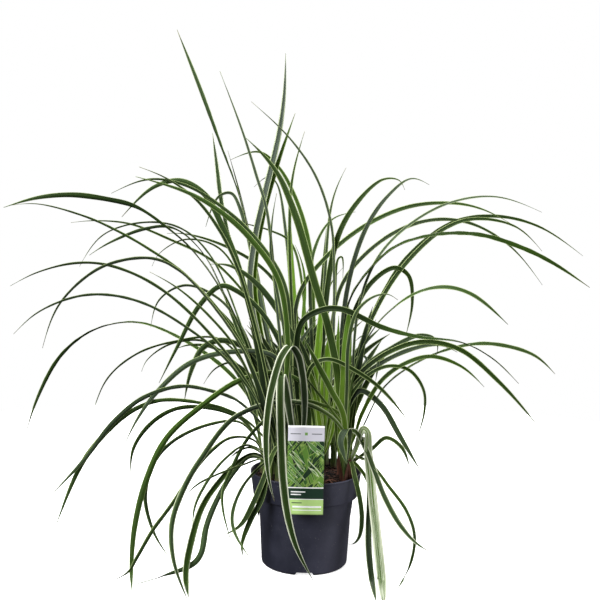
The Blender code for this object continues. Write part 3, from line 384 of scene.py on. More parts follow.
# %% Pot shape
POT_OUTLINE = [
    (0.0, 0.0),
    (12.0, 0.0),
    (12.6, 4.5),
    (43.0, 4.5),
    (44.2, 0.0),
    (51.4, 0.0),
    (54.0, 2.6),
    (57.2, 60.0),
    (59.6, 78.0),
    (60.6, 86.2),
    (65.7, 87.8),
    (69.3, 114.8),
    (70.0, 116.6),
    (69.2, 118.0),
    (68.2, 117.4),
    (64.7, 90.0),
    (59.3, 88.2),
    (55.7, 60.0),
    (52.6, 9.0),
    (50.8, 6.3),
    (0.0, 6.3),
]
POT_SIDES = 180
CORNER_STEPS = 4
CORNER_REACH = 1.1


def rounded(outline, reach, steps):
    """Each inner corner made a curve between points a, b near it: (1−t)²·a + 2t(1−t)·corner + t²·b."""
    outline = np.asarray(outline, float)
    before, corner, after = outline[:-2], outline[1:-1], outline[2:]
    to_before, to_after = before - corner, after - corner
    room_before = np.linalg.norm(to_before, axis=1, keepdims=True)
    room_after = np.linalg.norm(to_after, axis=1, keepdims=True)
    a = corner + to_before / room_before * np.minimum(reach, 0.4 * room_before)
    b = corner + to_after / room_after * np.minimum(reach, 0.4 * room_after)
    t = np.linspace(0, 1, steps + 1)[None, :, None]
    curve = (1 - t) ** 2 * a[:, None] + 2 * t * (1 - t) * corner[:, None] + t**2 * b[:, None]
    return np.concatenate([outline[:1], curve.reshape(-1, 2), outline[-1:]])


def turned(outline, sides):
    """A lathe: each (radius, height) becomes a ring (radius·cos, radius·sin, height) at even angles."""
    angle = np.linspace(0, 2 * math.pi, sides, endpoint=False)
    radius, height = outline[1:-1, 0, None], outline[1:-1, 1, None]
    rings = np.stack([radius * np.cos(angle), radius * np.sin(angle), height + 0 * angle], axis=-1)
    points = with_ends(rings)
    points[-2:, :2] = 0.0
    points[-2:, 2] = outline[[0, -1], 1]
    return points, tube_faces(*rings.shape[:2])


outline = rounded(POT_OUTLINE, CORNER_REACH, CORNER_STEPS)
pot_points, pot_faces = turned(outline, POT_SIDES)
print("pot outline:", len(POT_OUTLINE), "points, and", len(outline), "with its corners rounded")

# %% [markdown]
# The plastic is anthracite with a blue tint. Towards the right it is painted paler, as painted light from
# that side. It is never quite even: it has soft clouds from the mould, fine scuffs that run round it, and
# some pale dust, which shows more on the paler right. All of this could be painted on an image, but noise
# needs no unwrapping: clouds and dust are noise at two scales, and scuffs are noise that is stretched.
# Clouds and scuffs also move the roughness, so that the sheen breaks up.

# %% Pot finish
# The paler plastic colour serves the clouds and scuffs, and also the painted light on the right side.
DARK_PLASTIC = (0.0080, 0.0094, 0.0205)
PALE_PLASTIC = (0.0490, 0.0500, 0.0780)
DUST = (0.150, 0.145, 0.140)

pot_plastic = Finish("pot plastic", Specular_IOR_Level=0.40)
place = pot_plastic.place()
x, y, z = pot_plastic.parts(place)
clouds = pot_plastic.noise(place, 26.0, 4.0, 0.6)
fine = pot_plastic.noise(place, 420.0, 3.0, 0.6)
scuff_place = pot_plastic.vector(x * 30.0, y * 30.0, z * 420.0)
scuffs = pot_plastic.noise(scuff_place, 2.0, 3.0, 0.7, 0.6).rise(0.60, 0.74)
grains = pot_plastic.noise(place, 640.0, 1.0).rise(0.70, 0.76)
dusty = pot_plastic.noise(place, 60.0, 2.0).rise(0.42, 0.66)
# Painted light: the pot is painted paler towards the right, as if lit from that side, and more dust grains
# show there.
painted_light_right = (x - z * 0.1).rise(-0.005, 0.040)
clouds_and_painted_light = (clouds.rise(0.30, 0.75) * 0.35 + painted_light_right).least(1.0)
colour = pot_plastic.blend(clouds_and_painted_light, DARK_PLASTIC, PALE_PLASTIC)
colour = pot_plastic.blend(scuffs * 0.22, colour, PALE_PLASTIC)
colour = pot_plastic.blend(grains * dusty.most(painted_light_right) * 0.8, colour, DUST)
pot_look = pot_plastic.set(
    Base_Color=colour,
    Roughness=0.50 + clouds * 0.22 - scuffs * 0.08,
    Normal=pot_plastic.bump(fine * 0.5 + clouds, 0.12, 0.0006),
)

pot = piece("pot_shell", ["pot"], pot_points, pot_faces, [pot_look])
print("pot finish:", len(pot_plastic.tree.nodes), "nodes")

# %% [markdown]
# Water leaves a nursery pot through holes in its floor, and four notches in the foot ring let it run out
# from under the pot. They could be left out of the grid from the start, but a round hole doesn't follow its
# rings. A Boolean suits holes that cross a wall: it takes prisms away, all notches at once and then all
# holes. After it the shading is smooth again, apart from edges that turn by more than 40 degrees.

# %% Notches and drain holes
NOTCH_WIDE = 24.6
NOTCH_NARROW = 18.5
NOTCH_HEIGHT = 4.4
NOTCH_BELOW = -0.8
NOTCH_REACH = (40.0, 58.0)
DRAIN_RADIUS = 3.6
DRAIN_RING = 27.0
DRAINS = 8
DRAIN_SIDES = 24
DRAIN_FROM = 2.0
DRAIN_TO = 9.0
SHARP_ABOVE = math.radians(40)
UP = np.array((0.0, 0.0, 1.0))


def blocks(outlines, low, high):
    """Prisms in one mesh: each outline moved by low and by high, with sides between the two."""
    count = outlines.shape[1]
    points = np.concatenate([outlines + low, outlines + high], axis=1)
    ring = np.arange(count)
    after = (ring + 1) % count
    sides = np.stack([ring, after, count + after, count + ring], axis=1)
    starts = 2 * count * np.arange(len(outlines))
    faces = [cap + start for start in starts for cap in (ring[::-1], ring + count)]
    faces += [side + start for start in starts for side in sides]
    return points.reshape(-1, 3), faces


def cut(body, points, faces):
    """Takes the shape of the points and faces out of the body, for good."""
    mesh = bpy.data.meshes.new("cutter")
    mesh.from_pydata((points * MM).tolist(), [], [face.tolist() for face in faces])
    cutter = bpy.data.objects.new("cutter", mesh)
    scene.collection.objects.link(cutter)
    modifier = body.modifiers.new("cut", "BOOLEAN")
    modifier.operation = "DIFFERENCE"
    modifier.object = cutter
    bpy.context.view_layer.update()
    made = bpy.data.meshes.new_from_object(body.evaluated_get(bpy.context.evaluated_depsgraph_get()))
    body.modifiers.remove(modifier)
    body.data = made
    bpy.data.objects.remove(cutter, do_unlink=True)


quarter = np.radians(90.0 * np.arange(4) - 90.0)
way = np.stack([np.cos(quarter), np.sin(quarter), 0 * quarter], axis=1)[:, None]
side = np.stack([-np.sin(quarter), np.cos(quarter), 0 * quarter], axis=1)[:, None]
half = np.array((NOTCH_WIDE, NOTCH_NARROW, -NOTCH_NARROW, -NOTCH_WIDE))[None, :, None] / 2
lift = np.array((NOTCH_BELOW, NOTCH_HEIGHT, NOTCH_HEIGHT, NOTCH_BELOW))[None, :, None] * UP
cut(pot, *blocks(side * half + lift, way * NOTCH_REACH[0], way * NOTCH_REACH[1]))
drains = around(DRAIN_SIDES, DRAIN_RADIUS)[None] + around(DRAINS, DRAIN_RING)[:, None]
cut(pot, *blocks(drains, DRAIN_FROM * UP, DRAIN_TO * UP))
pot.data.shade_smooth()
pot.data.set_sharp_from_angle(angle=SHARP_ABOVE)
print("pot:", len(pot.data.polygons), "faces")

# %% [markdown]
# ## The soil
#
# Potting mix is dark peat with bark, root fibres and small crumbs. A flat grid could be sculpted, but the
# soil has to fit the pot's wall all round, so it is a polar grid: rings that come up along the wall and
# then go in to the middle. Each point on top is lifted by the low mound of the solid and by lumps of value
# noise at two scales, which fade to nothing where the soil meets the pot.

# %% Soil shape
SOIL_EDGE = 110.0
SOIL_EDGE_RADIUS = 66.6
SOIL_RISE = 5.0
SOIL_BUMP = 0.9
SOIL_BELOW = [(50.0, 6.6), (52.3, 9.3), (55.4, 60.0), (59.0, 88.2), (64.3, 90.4)]
SOIL_RINGS = 90
SOIL_SIDES = 220
INNERMOST = 0.4
EDGE_FADE = 5.0
LUMP_SIZE = 5.2
LUMP_HEIGHT = 2.2
GRAIN_SIZE = 1.7
GRAIN_HEIGHT = 1.1


def soil_height(x, y):
    """Edge height + rise·(1 − r²) + slow waves of x and y that fade as 1 − r⁴, with r from 0 to 1."""
    reach = np.minimum(1.0, np.hypot(x, y) / SOIL_EDGE_RADIUS)
    lumps = np.sin(0.21 * x + 1.3) * np.cos(0.17 * y - 0.6) + 0.6 * np.sin(0.37 * y + 0.29 * x)
    return SOIL_EDGE + SOIL_RISE * (1 - reach**2) + SOIL_BUMP * lumps * (1 - reach**4)


def crumbly_height(x, y):
    """The mound with lumps and grains of value noise, both 0 on average and faded near the edge."""
    fade = np.clip((SOIL_EDGE_RADIUS - np.hypot(x, y)) / EDGE_FADE, 0, 1)
    lumps = (value_noise(x / LUMP_SIZE + 31.7, y / LUMP_SIZE + 11.2) - 0.5) * LUMP_HEIGHT
    grains = (value_noise(x / GRAIN_SIZE + 7.1, y / GRAIN_SIZE + 53.4) - 0.5) * GRAIN_HEIGHT
    return soil_height(x, y) + (lumps + grains) * fade


angle = np.linspace(0, 2 * math.pi, SOIL_SIDES, endpoint=False)
below = np.array(SOIL_BELOW)
reach = np.linspace(SOIL_EDGE_RADIUS, INNERMOST, SOIL_RINGS)
radius = np.concatenate([below[:, 0], reach])[:, None]
x, y = radius * np.cos(angle), radius * np.sin(angle)
z = crumbly_height(x, y)
z[: len(below)] = below[:, 1:]
soil_points = with_ends(np.stack([x, y, z], axis=-1))
soil_faces = tube_faces(len(radius), SOIL_SIDES)
print("soil top at", round(float(soil_points[:, 2].max()), 1), "mm")

# %% [markdown]
# Peat is nearly black where it is wet and brown where it has dried. A photo of soil could be laid on it,
# but it would repeat and bring its own light. So the finish blends three browns by noise at two scales, and
# its bump adds what is smaller than the grid.

# %% Soil finish
WET_PEAT = (0.0020, 0.0014, 0.0010)
PEAT = (0.0042, 0.0026, 0.0018)
DRY_PEAT = (0.0190, 0.0095, 0.0060)

potting_mix = Finish("potting mix", Specular_IOR_Level=0.18, Roughness=0.95)
place = potting_mix.place()
coarse = potting_mix.noise(place, 170.0, 4.0, 0.6)
fine = potting_mix.noise(place, 900.0, 3.0, 0.7)
colour = potting_mix.blend(coarse.rise(0.35, 0.62), WET_PEAT, PEAT)
colour = potting_mix.blend(fine.rise(0.55, 0.75) * 0.7, colour, DRY_PEAT)
soil_look = potting_mix.set(Base_Color=colour, Normal=potting_mix.bump(coarse + fine * 0.6, 0.9, 0.0012))
soil = piece("soil_bed", ["soil"], soil_points, soil_faces, [soil_look])
print("soil:", len(soil.data.polygons), "faces")

# %% [markdown]
# ## Crumbs, bark and fibres
#
# On the soil lie 1500 loose crumbs, 150 splinters of bark and 260 reddish root fibres. Geometry nodes could
# scatter them, or copies could be placed one by one. Here each kind is one mesh: a small shape is written
# once and copied by broadcasting, which multiplies an array of shapes by an array of sizes and turns.

# %% Scattering
SOIL_SEED = 21
scatter = np.random.default_rng(SOIL_SEED)


def turns_about(count, tilt):
    """Rotation matrices: a tilt by up to the given angle, then any turn about the upright axis."""
    spin = scatter.uniform(0, 2 * math.pi, count)
    lean = scatter.uniform(-tilt, tilt, count)
    about_z, about_x = np.zeros((2, count, 3, 3))
    about_z[:, 2, 2] = about_x[:, 0, 0] = 1.0
    about_z[:, 0, 0] = about_z[:, 1, 1] = np.cos(spin)
    about_z[:, 1, 0] = np.sin(spin)
    about_z[:, 0, 1] = -np.sin(spin)
    about_x[:, 1, 1] = about_x[:, 2, 2] = np.cos(lean)
    about_x[:, 2, 1] = np.sin(lean)
    about_x[:, 1, 2] = -np.sin(lean)
    return about_z @ about_x


def spots(count, furthest):
    """Places on the soil, equally dense all over: the radius is furthest·√n, for an n drawn from 0 to 1."""
    angle = scatter.uniform(0, 2 * math.pi, count)
    radius = furthest * np.sqrt(scatter.uniform(0, 1, count))
    x, y = radius * np.cos(angle), radius * np.sin(angle)
    return np.stack([x, y, crumbly_height(x, y)], axis=1)


def strewn(shapes, tilt, furthest):
    """Every shape turned and tilted by chance, and moved to its own place on the soil."""
    leaning = (turns_about(len(shapes), tilt) @ shapes.transpose(0, 2, 1)).transpose(0, 2, 1)
    return leaning + spots(len(shapes), furthest)[:, None]


def copies(shapes, faces):
    """The faces of one shape for each copy, plus the number of points in the copies before it."""
    starts = shapes.shape[1] * np.arange(len(shapes))
    return (faces[None] + starts[:, None, None]).reshape(-1, faces.shape[1])


print("faces of two squares:", copies(np.zeros((2, 4, 3)), np.array([(0, 1, 2, 3)])).tolist())

# %% [markdown]
# A crumb is a ball of twenty triangles, pushed out of shape by chance. A ball with more faces would look no
# better at this size. Most crumbs are small, because the number drawn for the size is raised to the third
# power. Another number for each crumb, its tone, lets one finish colour them all a little differently.

# %% Crumbs
CRUMBS = 1500
CRUMB_TILT = 1.5
CRUMBS_WITHIN = 64.0
LEAST_CRUMB = 0.35
CRUMB_GROWTH = 2.3

golden = (1 + math.sqrt(5)) / 2
ball = unit(np.array([
    (-1, golden, 0), (1, golden, 0), (-1, -golden, 0), (1, -golden, 0),
    (0, -1, golden), (0, 1, golden), (0, -1, -golden), (0, 1, -golden),
    (golden, 0, -1), (golden, 0, 1), (-golden, 0, -1), (-golden, 0, 1),
]))
ball_faces = np.array([
    (0, 11, 5), (0, 5, 1), (0, 1, 7), (0, 7, 10), (0, 10, 11),
    (1, 5, 9), (5, 11, 4), (11, 10, 2), (10, 7, 6), (7, 1, 8),
    (3, 9, 4), (3, 4, 2), (3, 2, 6), (3, 6, 8), (3, 8, 9),
    (4, 9, 5), (2, 4, 11), (6, 2, 10), (8, 6, 7), (9, 8, 1),
])
size = scatter.uniform(0.5, 1.0, CRUMBS) ** 3 * CRUMB_GROWTH + LEAST_CRUMB
shapes = ball[None] * scatter.uniform(0.65, 1.2, (CRUMBS, len(ball), 1)) * size[:, None, None]
shapes = shapes * scatter.uniform(0.6, 1.0, (CRUMBS, 1, 3))
crumb_points = strewn(shapes, CRUMB_TILT, CRUMBS_WITHIN)
crumb_tone = np.repeat(scatter.uniform(0, 1, CRUMBS) ** 2, len(ball))

crumb = Finish("crumbs", Specular_IOR_Level=0.2, Roughness=0.9)
tone = crumb.attribute("tone")
rough = crumb.noise(crumb.place(), 700.0, 3.0)
colour = crumb.blend(tone, (0.0026, 0.0017, 0.0012), (0.0230, 0.0105, 0.0062))
colour = crumb.blend(rough.rise(0.45, 0.7) * 0.5, colour, (0.030, 0.016, 0.010))
crumb_look = crumb.set(Base_Color=colour, Normal=crumb.bump(rough, 0.7, 0.0006))
piece("soil_crumbs", [], crumb_points.reshape(-1, 3), [copies(crumb_points, ball_faces)],
      [crumb_look], {"tone": crumb_tone})
print("crumbs:", CRUMBS)

# %% [markdown]
# A bark chip is a flat splinter. A Bevel modifier would only make it softer, so it is just the eight
# corners of a box, pushed about by chance and shaded flat. Its finish is noise that is stretched, as grain
# is.

# %% Bark chips
CHIPS = 150
CHIP_TILT = 0.7
CHIPS_WITHIN = 61.0

box = np.array([(i, j, k) for i in (-1, 1) for j in (-1, 1) for k in (-1, 1)], float)
box_faces = np.array([(0, 1, 3, 2), (4, 6, 7, 5), (0, 4, 5, 1), (2, 3, 7, 6), (0, 2, 6, 4), (1, 5, 7, 3)])
long_side = scatter.uniform(1.4, 5.6, CHIPS)
short_side = long_side * scatter.uniform(0.2, 0.5, CHIPS)
height = scatter.uniform(0.3, 0.9, CHIPS)
sides = np.stack([long_side, short_side, height], axis=1)
shapes = box[None] * sides[:, None] * scatter.uniform(0.55, 1.1, (CHIPS, len(box), 3))
chip_points = strewn(shapes, CHIP_TILT, CHIPS_WITHIN)
chip_tone = np.repeat(scatter.uniform(0, 1, CHIPS), len(box))

bark = Finish("bark", Specular_IOR_Level=0.25, Roughness=0.82)
tone = bark.attribute("tone")
x, y, z = bark.parts(bark.place())
grain = bark.noise(bark.vector(x * 900.0, y * 300.0, z * 900.0), 1.0, 3.0)
colour = bark.blend(tone, (0.0100, 0.0048, 0.0032), (0.0700, 0.0300, 0.0175))
colour = bark.blend(grain.rise(0.4, 0.65) * 0.6, colour, (0.022, 0.010, 0.007))
bark_look = bark.set(Base_Color=colour, Normal=bark.bump(grain, 0.8, 0.0006))
chips = piece("bark_chips", [], chip_points.reshape(-1, 3), [copies(chip_points, box_faces)],
              [bark_look], {"tone": chip_tone})
chips.data.shade_flat()
print("chips:", CHIPS)

# %% [markdown]
# A root fibre is a thin tube along a curve, which bends in the plane of the soil and arches over it.
# Hundreds of curves with a bevel would be slow, so all fibres are computed together, as an array of fibres
# by rings by corners. Three thicker ones, the palest, are the dry twigs at the front.

# %% Fibres
FIBRES = 260
FIBRES_WITHIN = 62.0
NEVER_PAST = 65.0
FIBRE_RINGS = 9
FIBRE_SIDES = 4
TWIGS = np.array([(22.0, -52.0), (34.0, -48.0), (40.0, -40.0)])


def strands(starts, headings, bends, lengths, arches, radii, rings, sides):
    """Tubes along arcs: the heading grows by the bend, and the height is the soil's + arch·4t(1−t)."""
    t = np.linspace(0, 1, rings)
    heading = headings[:, None] + bends[:, None] * t
    step = lengths[:, None] / (rings - 1)
    x = starts[:, :1] + np.cumsum(np.cos(heading) * step, axis=1)
    y = starts[:, 1:2] + np.cumsum(np.sin(heading) * step, axis=1)
    inside = np.minimum(1.0, NEVER_PAST / np.maximum(np.hypot(x, y), 1e-6))
    x, y = x * inside, y * inside
    z = crumbly_height(x, y) + arches[:, None] * 4 * t * (1 - t) + radii[:, None] * 0.4
    line = np.stack([x, y, z], axis=-1)
    ways = unit(np.gradient(line, axis=1))
    flat = unit(np.cross(ways, UP))
    over = np.cross(flat, ways)
    angle = 2 * math.pi * np.arange(sides) / sides
    round_it = flat[:, :, None] * np.cos(angle)[:, None] + over[:, :, None] * np.sin(angle)[:, None]
    taper = (0.35 + 0.65 * np.sin(math.pi * np.clip(t * 0.9 + 0.08, 0, 1)))[None, :, None, None]
    grid = line[:, :, None] + round_it * radii[:, None, None, None] * taper
    return np.concatenate([grid.reshape(len(starts), -1, 3), line[:, :1], line[:, -1:]], axis=1)


fibre_points = strands(
    starts=spots(FIBRES, FIBRES_WITHIN),
    headings=scatter.uniform(0, 2 * math.pi, FIBRES),
    bends=scatter.uniform(-2.2, 2.2, FIBRES),
    lengths=scatter.uniform(5.0, 22.0, FIBRES),
    arches=scatter.uniform(0.2, 3.0, FIBRES),
    radii=scatter.uniform(0.13, 0.42, FIBRES),
    rings=FIBRE_RINGS,
    sides=FIBRE_SIDES,
)
twig_points = strands(
    starts=TWIGS,
    headings=np.array((0.35, 1.9, 2.9)),
    bends=np.array((-0.5, 0.8, 0.5)),
    lengths=np.array((18.0, 15.0, 16.0)),
    arches=np.array((1.8, 2.6, 3.2)),
    radii=np.array((0.95, 0.8, 0.7)),
    rings=FIBRE_RINGS,
    sides=FIBRE_SIDES,
)
both = np.concatenate([fibre_points, twig_points])
fibre_tone = np.concatenate([scatter.uniform(0, 0.75, FIBRES), np.ones(len(TWIGS))])
squares, fans = tube_faces(FIBRE_RINGS, FIBRE_SIDES)

fibre = Finish("root fibre", Specular_IOR_Level=0.3, Roughness=0.75)
tone = fibre.attribute("tone")
colour = fibre.blend(tone, (0.0100, 0.0042, 0.0027), (0.2500, 0.1150, 0.0760))
colour = fibre.blend(fibre.noise(fibre.place(), 500.0).rise(0.4, 0.7) * 0.5, colour, (0.050, 0.022, 0.013))
fibre_look = fibre.set(Base_Color=colour)
piece("root_fibres", [], both.reshape(-1, 3), [copies(both, squares), copies(both, fans)],
      [fibre_look], {"tone": np.repeat(fibre_tone, both.shape[1])})
print("fibres and twigs:", len(both))

# %% [markdown]
# ## The label
#
# A plant label is one strip of printed plastic, folded at its top: the card hangs in front of the rim and
# the tail goes down into the soil behind it. It could be two thin boxes, but the fold would show a seam. So
# it is modelled as it is made: a flat strip is laid along a path that goes up, round the fold and down
# again. A table gives the width at each height of the tail, and the strip gets a thickness with rounded
# edges, so the rim of the plastic catches light.

# %% Label shape
LABEL_X = -1.0
CARD_WIDTH = 43.0
CARD_FRONT = -76.0
CARD_BOTTOM = 83.0
LABEL_TOP = 189.0
LABEL_THICK = 0.8
TAIL_WIDTH = 15.0
TAIL_SHOULDER = 160.0
TAIL_POINT = 93.0
TAIL_TAPER = 103.0
TAIL_Y_TOP = -72.6
TAIL_Y_BOTTOM = -58.6
TAIL_WIDTHS = [(TAIL_POINT, 3.0), (TAIL_TAPER, TAIL_WIDTH), (TAIL_SHOULDER - 14.0, TAIL_WIDTH),
               (TAIL_SHOULDER, CARD_WIDTH)]
FOLD_RADIUS = 1.7
CARD_BOW = 0.5
BOW_FADES = 30.0
ACROSS_POINTS = 34
FOLD_POINTS = 14
CARD_POINTS = 60
TAIL_POINTS = 70


def tail_y(z):
    """The depth of the tail at a height: a straight line between its top and its point."""
    return TAIL_Y_BOTTOM + (TAIL_Y_TOP - TAIL_Y_BOTTOM) * (z - TAIL_POINT) / (LABEL_TOP - TAIL_POINT)


front_y = CARD_FRONT + LABEL_THICK / 2
fold_z = LABEL_TOP - FOLD_RADIUS - LABEL_THICK / 2
fold = np.linspace(math.pi, 0, FOLD_POINTS)[1:-1]
up = np.linspace(CARD_BOTTOM, fold_z, CARD_POINTS)
down = np.linspace(fold_z, TAIL_POINT, TAIL_POINTS)
path_y = np.concatenate([0 * up + front_y, front_y + FOLD_RADIUS * (1 + np.cos(fold)), tail_y(down)])
path_z = np.concatenate([up, fold_z + FOLD_RADIUS * np.sin(fold), down])
is_card = np.arange(len(path_y)) < len(up) + len(fold)
wide = np.where(is_card, CARD_WIDTH, np.interp(path_z, *np.array(TAIL_WIDTHS).T))
path = np.stack([0 * path_y, path_y, path_z], axis=1)
ways = unit(np.gradient(path, axis=0))
out = np.cross((1.0, 0.0, 0.0), ways)

u = np.linspace(-1, 1, ACROSS_POINTS)
rim = np.cos(np.linspace(-1.2, 1.2, ACROSS_POINTS)) ** 0.3 * LABEL_THICK / 2
bow_here = CARD_BOW * np.clip((fold_z - path_z) / BOW_FADES, 0, 1) * is_card
bow = (1 - u[None] ** 2) * bow_here[:, None]
strip = path[:, None] + np.stack([LABEL_X + u[None] * wide[:, None] / 2, -bow, 0 * bow], axis=-1)
outer = strip + out[:, None] * rim[:, None]
inner = strip - out[:, None] * rim[:, None]
label_grid = np.concatenate([outer, inner[:, ::-1]], axis=1)[:, ::-1]
label_points = with_ends(label_grid)
squares, fans = tube_faces(*label_grid.shape[:2])
printed = np.zeros(label_grid.shape[:2])
printed[: len(up), ACROSS_POINTS:] = 1.0
print("label: rings by points", label_grid.shape[:2])

# %% [markdown]
# The print has a pale header, a pattern, a dark green band and a light green band, with thin white lines
# between. There are no words on it: plain bars stand where a label has its lines of print. An image could
# be laid on the card, but bands and bars are only comparisons of a place with an edge, which stay sharp
# from close by. The pattern is made of slanting brush strokes in greens. A stroke is noise that is
# stretched along a direction and cut off at a level: at a higher level the strokes are fewer and thinner,
# so a second cut inside the first gives it a rim.

# %% Label finish
# Colours are linear red, green and blue. A band is its top and its colour. A bar is its middle to the right
# and up, its half sizes and its colour. A kind of stroke is its slant, how close the strokes stand, the level
# of the cut, and the colours of rim and core.
HEADER = (0.655, 0.645, 0.720)
BAND_DARK = (0.0100, 0.0330, 0.0180)
BAND_LIGHT = (0.440, 0.650, 0.220)
PAPER_WHITE = (0.90, 0.91, 0.90)
PICTURE_TOP = 0.1710
PICTURE_BOTTOM = 0.1160
EDGE = 0.0001
INK = (0.030, 0.050, 0.038)
BANDS_BELOW = [
    (PICTURE_BOTTOM, PAPER_WHITE), (0.1147, BAND_DARK), (0.1020, PAPER_WHITE), (0.1012, BAND_LIGHT),
]
BARS = [
    (-0.0135, 0.1795, 0.0060, 0.0004, INK), (0.0115, 0.1795, 0.0060, 0.0004, INK),
    (-0.0010, 0.1795, 0.0016, 0.0016, (0.16, 0.34, 0.07)),
    (-0.0095, 0.1104, 0.0085, 0.0006, PAPER_WHITE), (-0.0120, 0.1072, 0.0060, 0.0006, PAPER_WHITE),
    (-0.0110, 0.0972, 0.0060, 0.0005, INK), (0.0010, 0.0925, 0.0170, 0.0010, PAPER_WHITE),
    (0.0010, 0.0885, 0.0170, 0.0004, PAPER_WHITE),
]

STROKES = [
    (0.15, 260.0, 0.44, (0.090, 0.170, 0.030), (0.035, 0.110, 0.022)),
    (-0.35, 300.0, 0.52, (0.300, 0.420, 0.110), (0.110, 0.240, 0.036)),
    (0.70, 280.0, 0.58, (0.210, 0.340, 0.070), (0.012, 0.035, 0.014)),
    (-0.80, 300.0, 0.60, (0.560, 0.640, 0.420), (0.100, 0.220, 0.050)),
]

label_plastic = Finish("label plastic", Specular_IOR_Level=0.3)
place = label_plastic.place()
x, y, z = label_plastic.parts(place)
picture = (0.008, 0.020, 0.010)
for slant, wide, level, rim, core in STROKES:
    over_it = x * math.cos(slant) - z * math.sin(slant)
    along_it = x * math.sin(slant) + z * math.cos(slant)
    stroke_place = label_plastic.vector(over_it * wide, along_it * 32.0, slant * 9.0)
    stroke = label_plastic.noise(stroke_place, 1.0, 0.0)
    picture = label_plastic.blend(stroke.rise(level, level + 0.02), picture, rim)
    picture = label_plastic.blend(stroke.rise(level + 0.045, level + 0.065), picture, core)
colour = label_plastic.blend(z.rise(PICTURE_TOP - EDGE, PICTURE_TOP + EDGE), picture, HEADER)
for top, paint in BANDS_BELOW:
    colour = label_plastic.blend(z.rise(top + EDGE, top - EDGE), colour, paint)
for bar_x, bar_z, half_wide, half_high, ink in BARS:
    within_width = (x - bar_x).abs().rise(half_wide + EDGE, half_wide)
    within_height = (z - bar_z).abs().rise(half_high + EDGE, half_high)
    colour = label_plastic.blend(within_width * within_height, colour, ink)
dull = label_plastic.noise(place, 90.0, 3.0)
label_look = label_plastic.set(
    Base_Color=label_plastic.blend(label_plastic.attribute("printed"), PAPER_WHITE, colour),
    Roughness=0.40 + dull * 0.16,
    Normal=label_plastic.bump(dull, 0.05, 0.0004),
)
label = piece("label_card", ["label"], label_points, [squares, fans], [label_look],
              {"printed": np.concatenate([printed.ravel(), (1.0, 0.0)])})
print("label:", len(label.data.polygons), "faces")

# %% [markdown]
# ## Where the blades run
#
# Each shoot has a place and a depth at the soil, and its blades are drawn as they show from the camera:
# points to the right and up, in centimetres, on the upright plane through the pot's middle. A rule could
# grow every blade by itself, but then the outline would be that of any sedge, not of this one. Each point
# is carried along its line of sight to its own depth. The shoots' depths open out away from the pot like
# the leaves of a book, so that no shoot crosses another. These rows and rules are the ones that the solids
# were made by.


# %% Rows in front
def blade(width, turn_root, turn_tip, *points):
    """A blade's width in millimetres, the degrees that its face turns to the front, and its points."""
    return width, turn_root, turn_tip, points


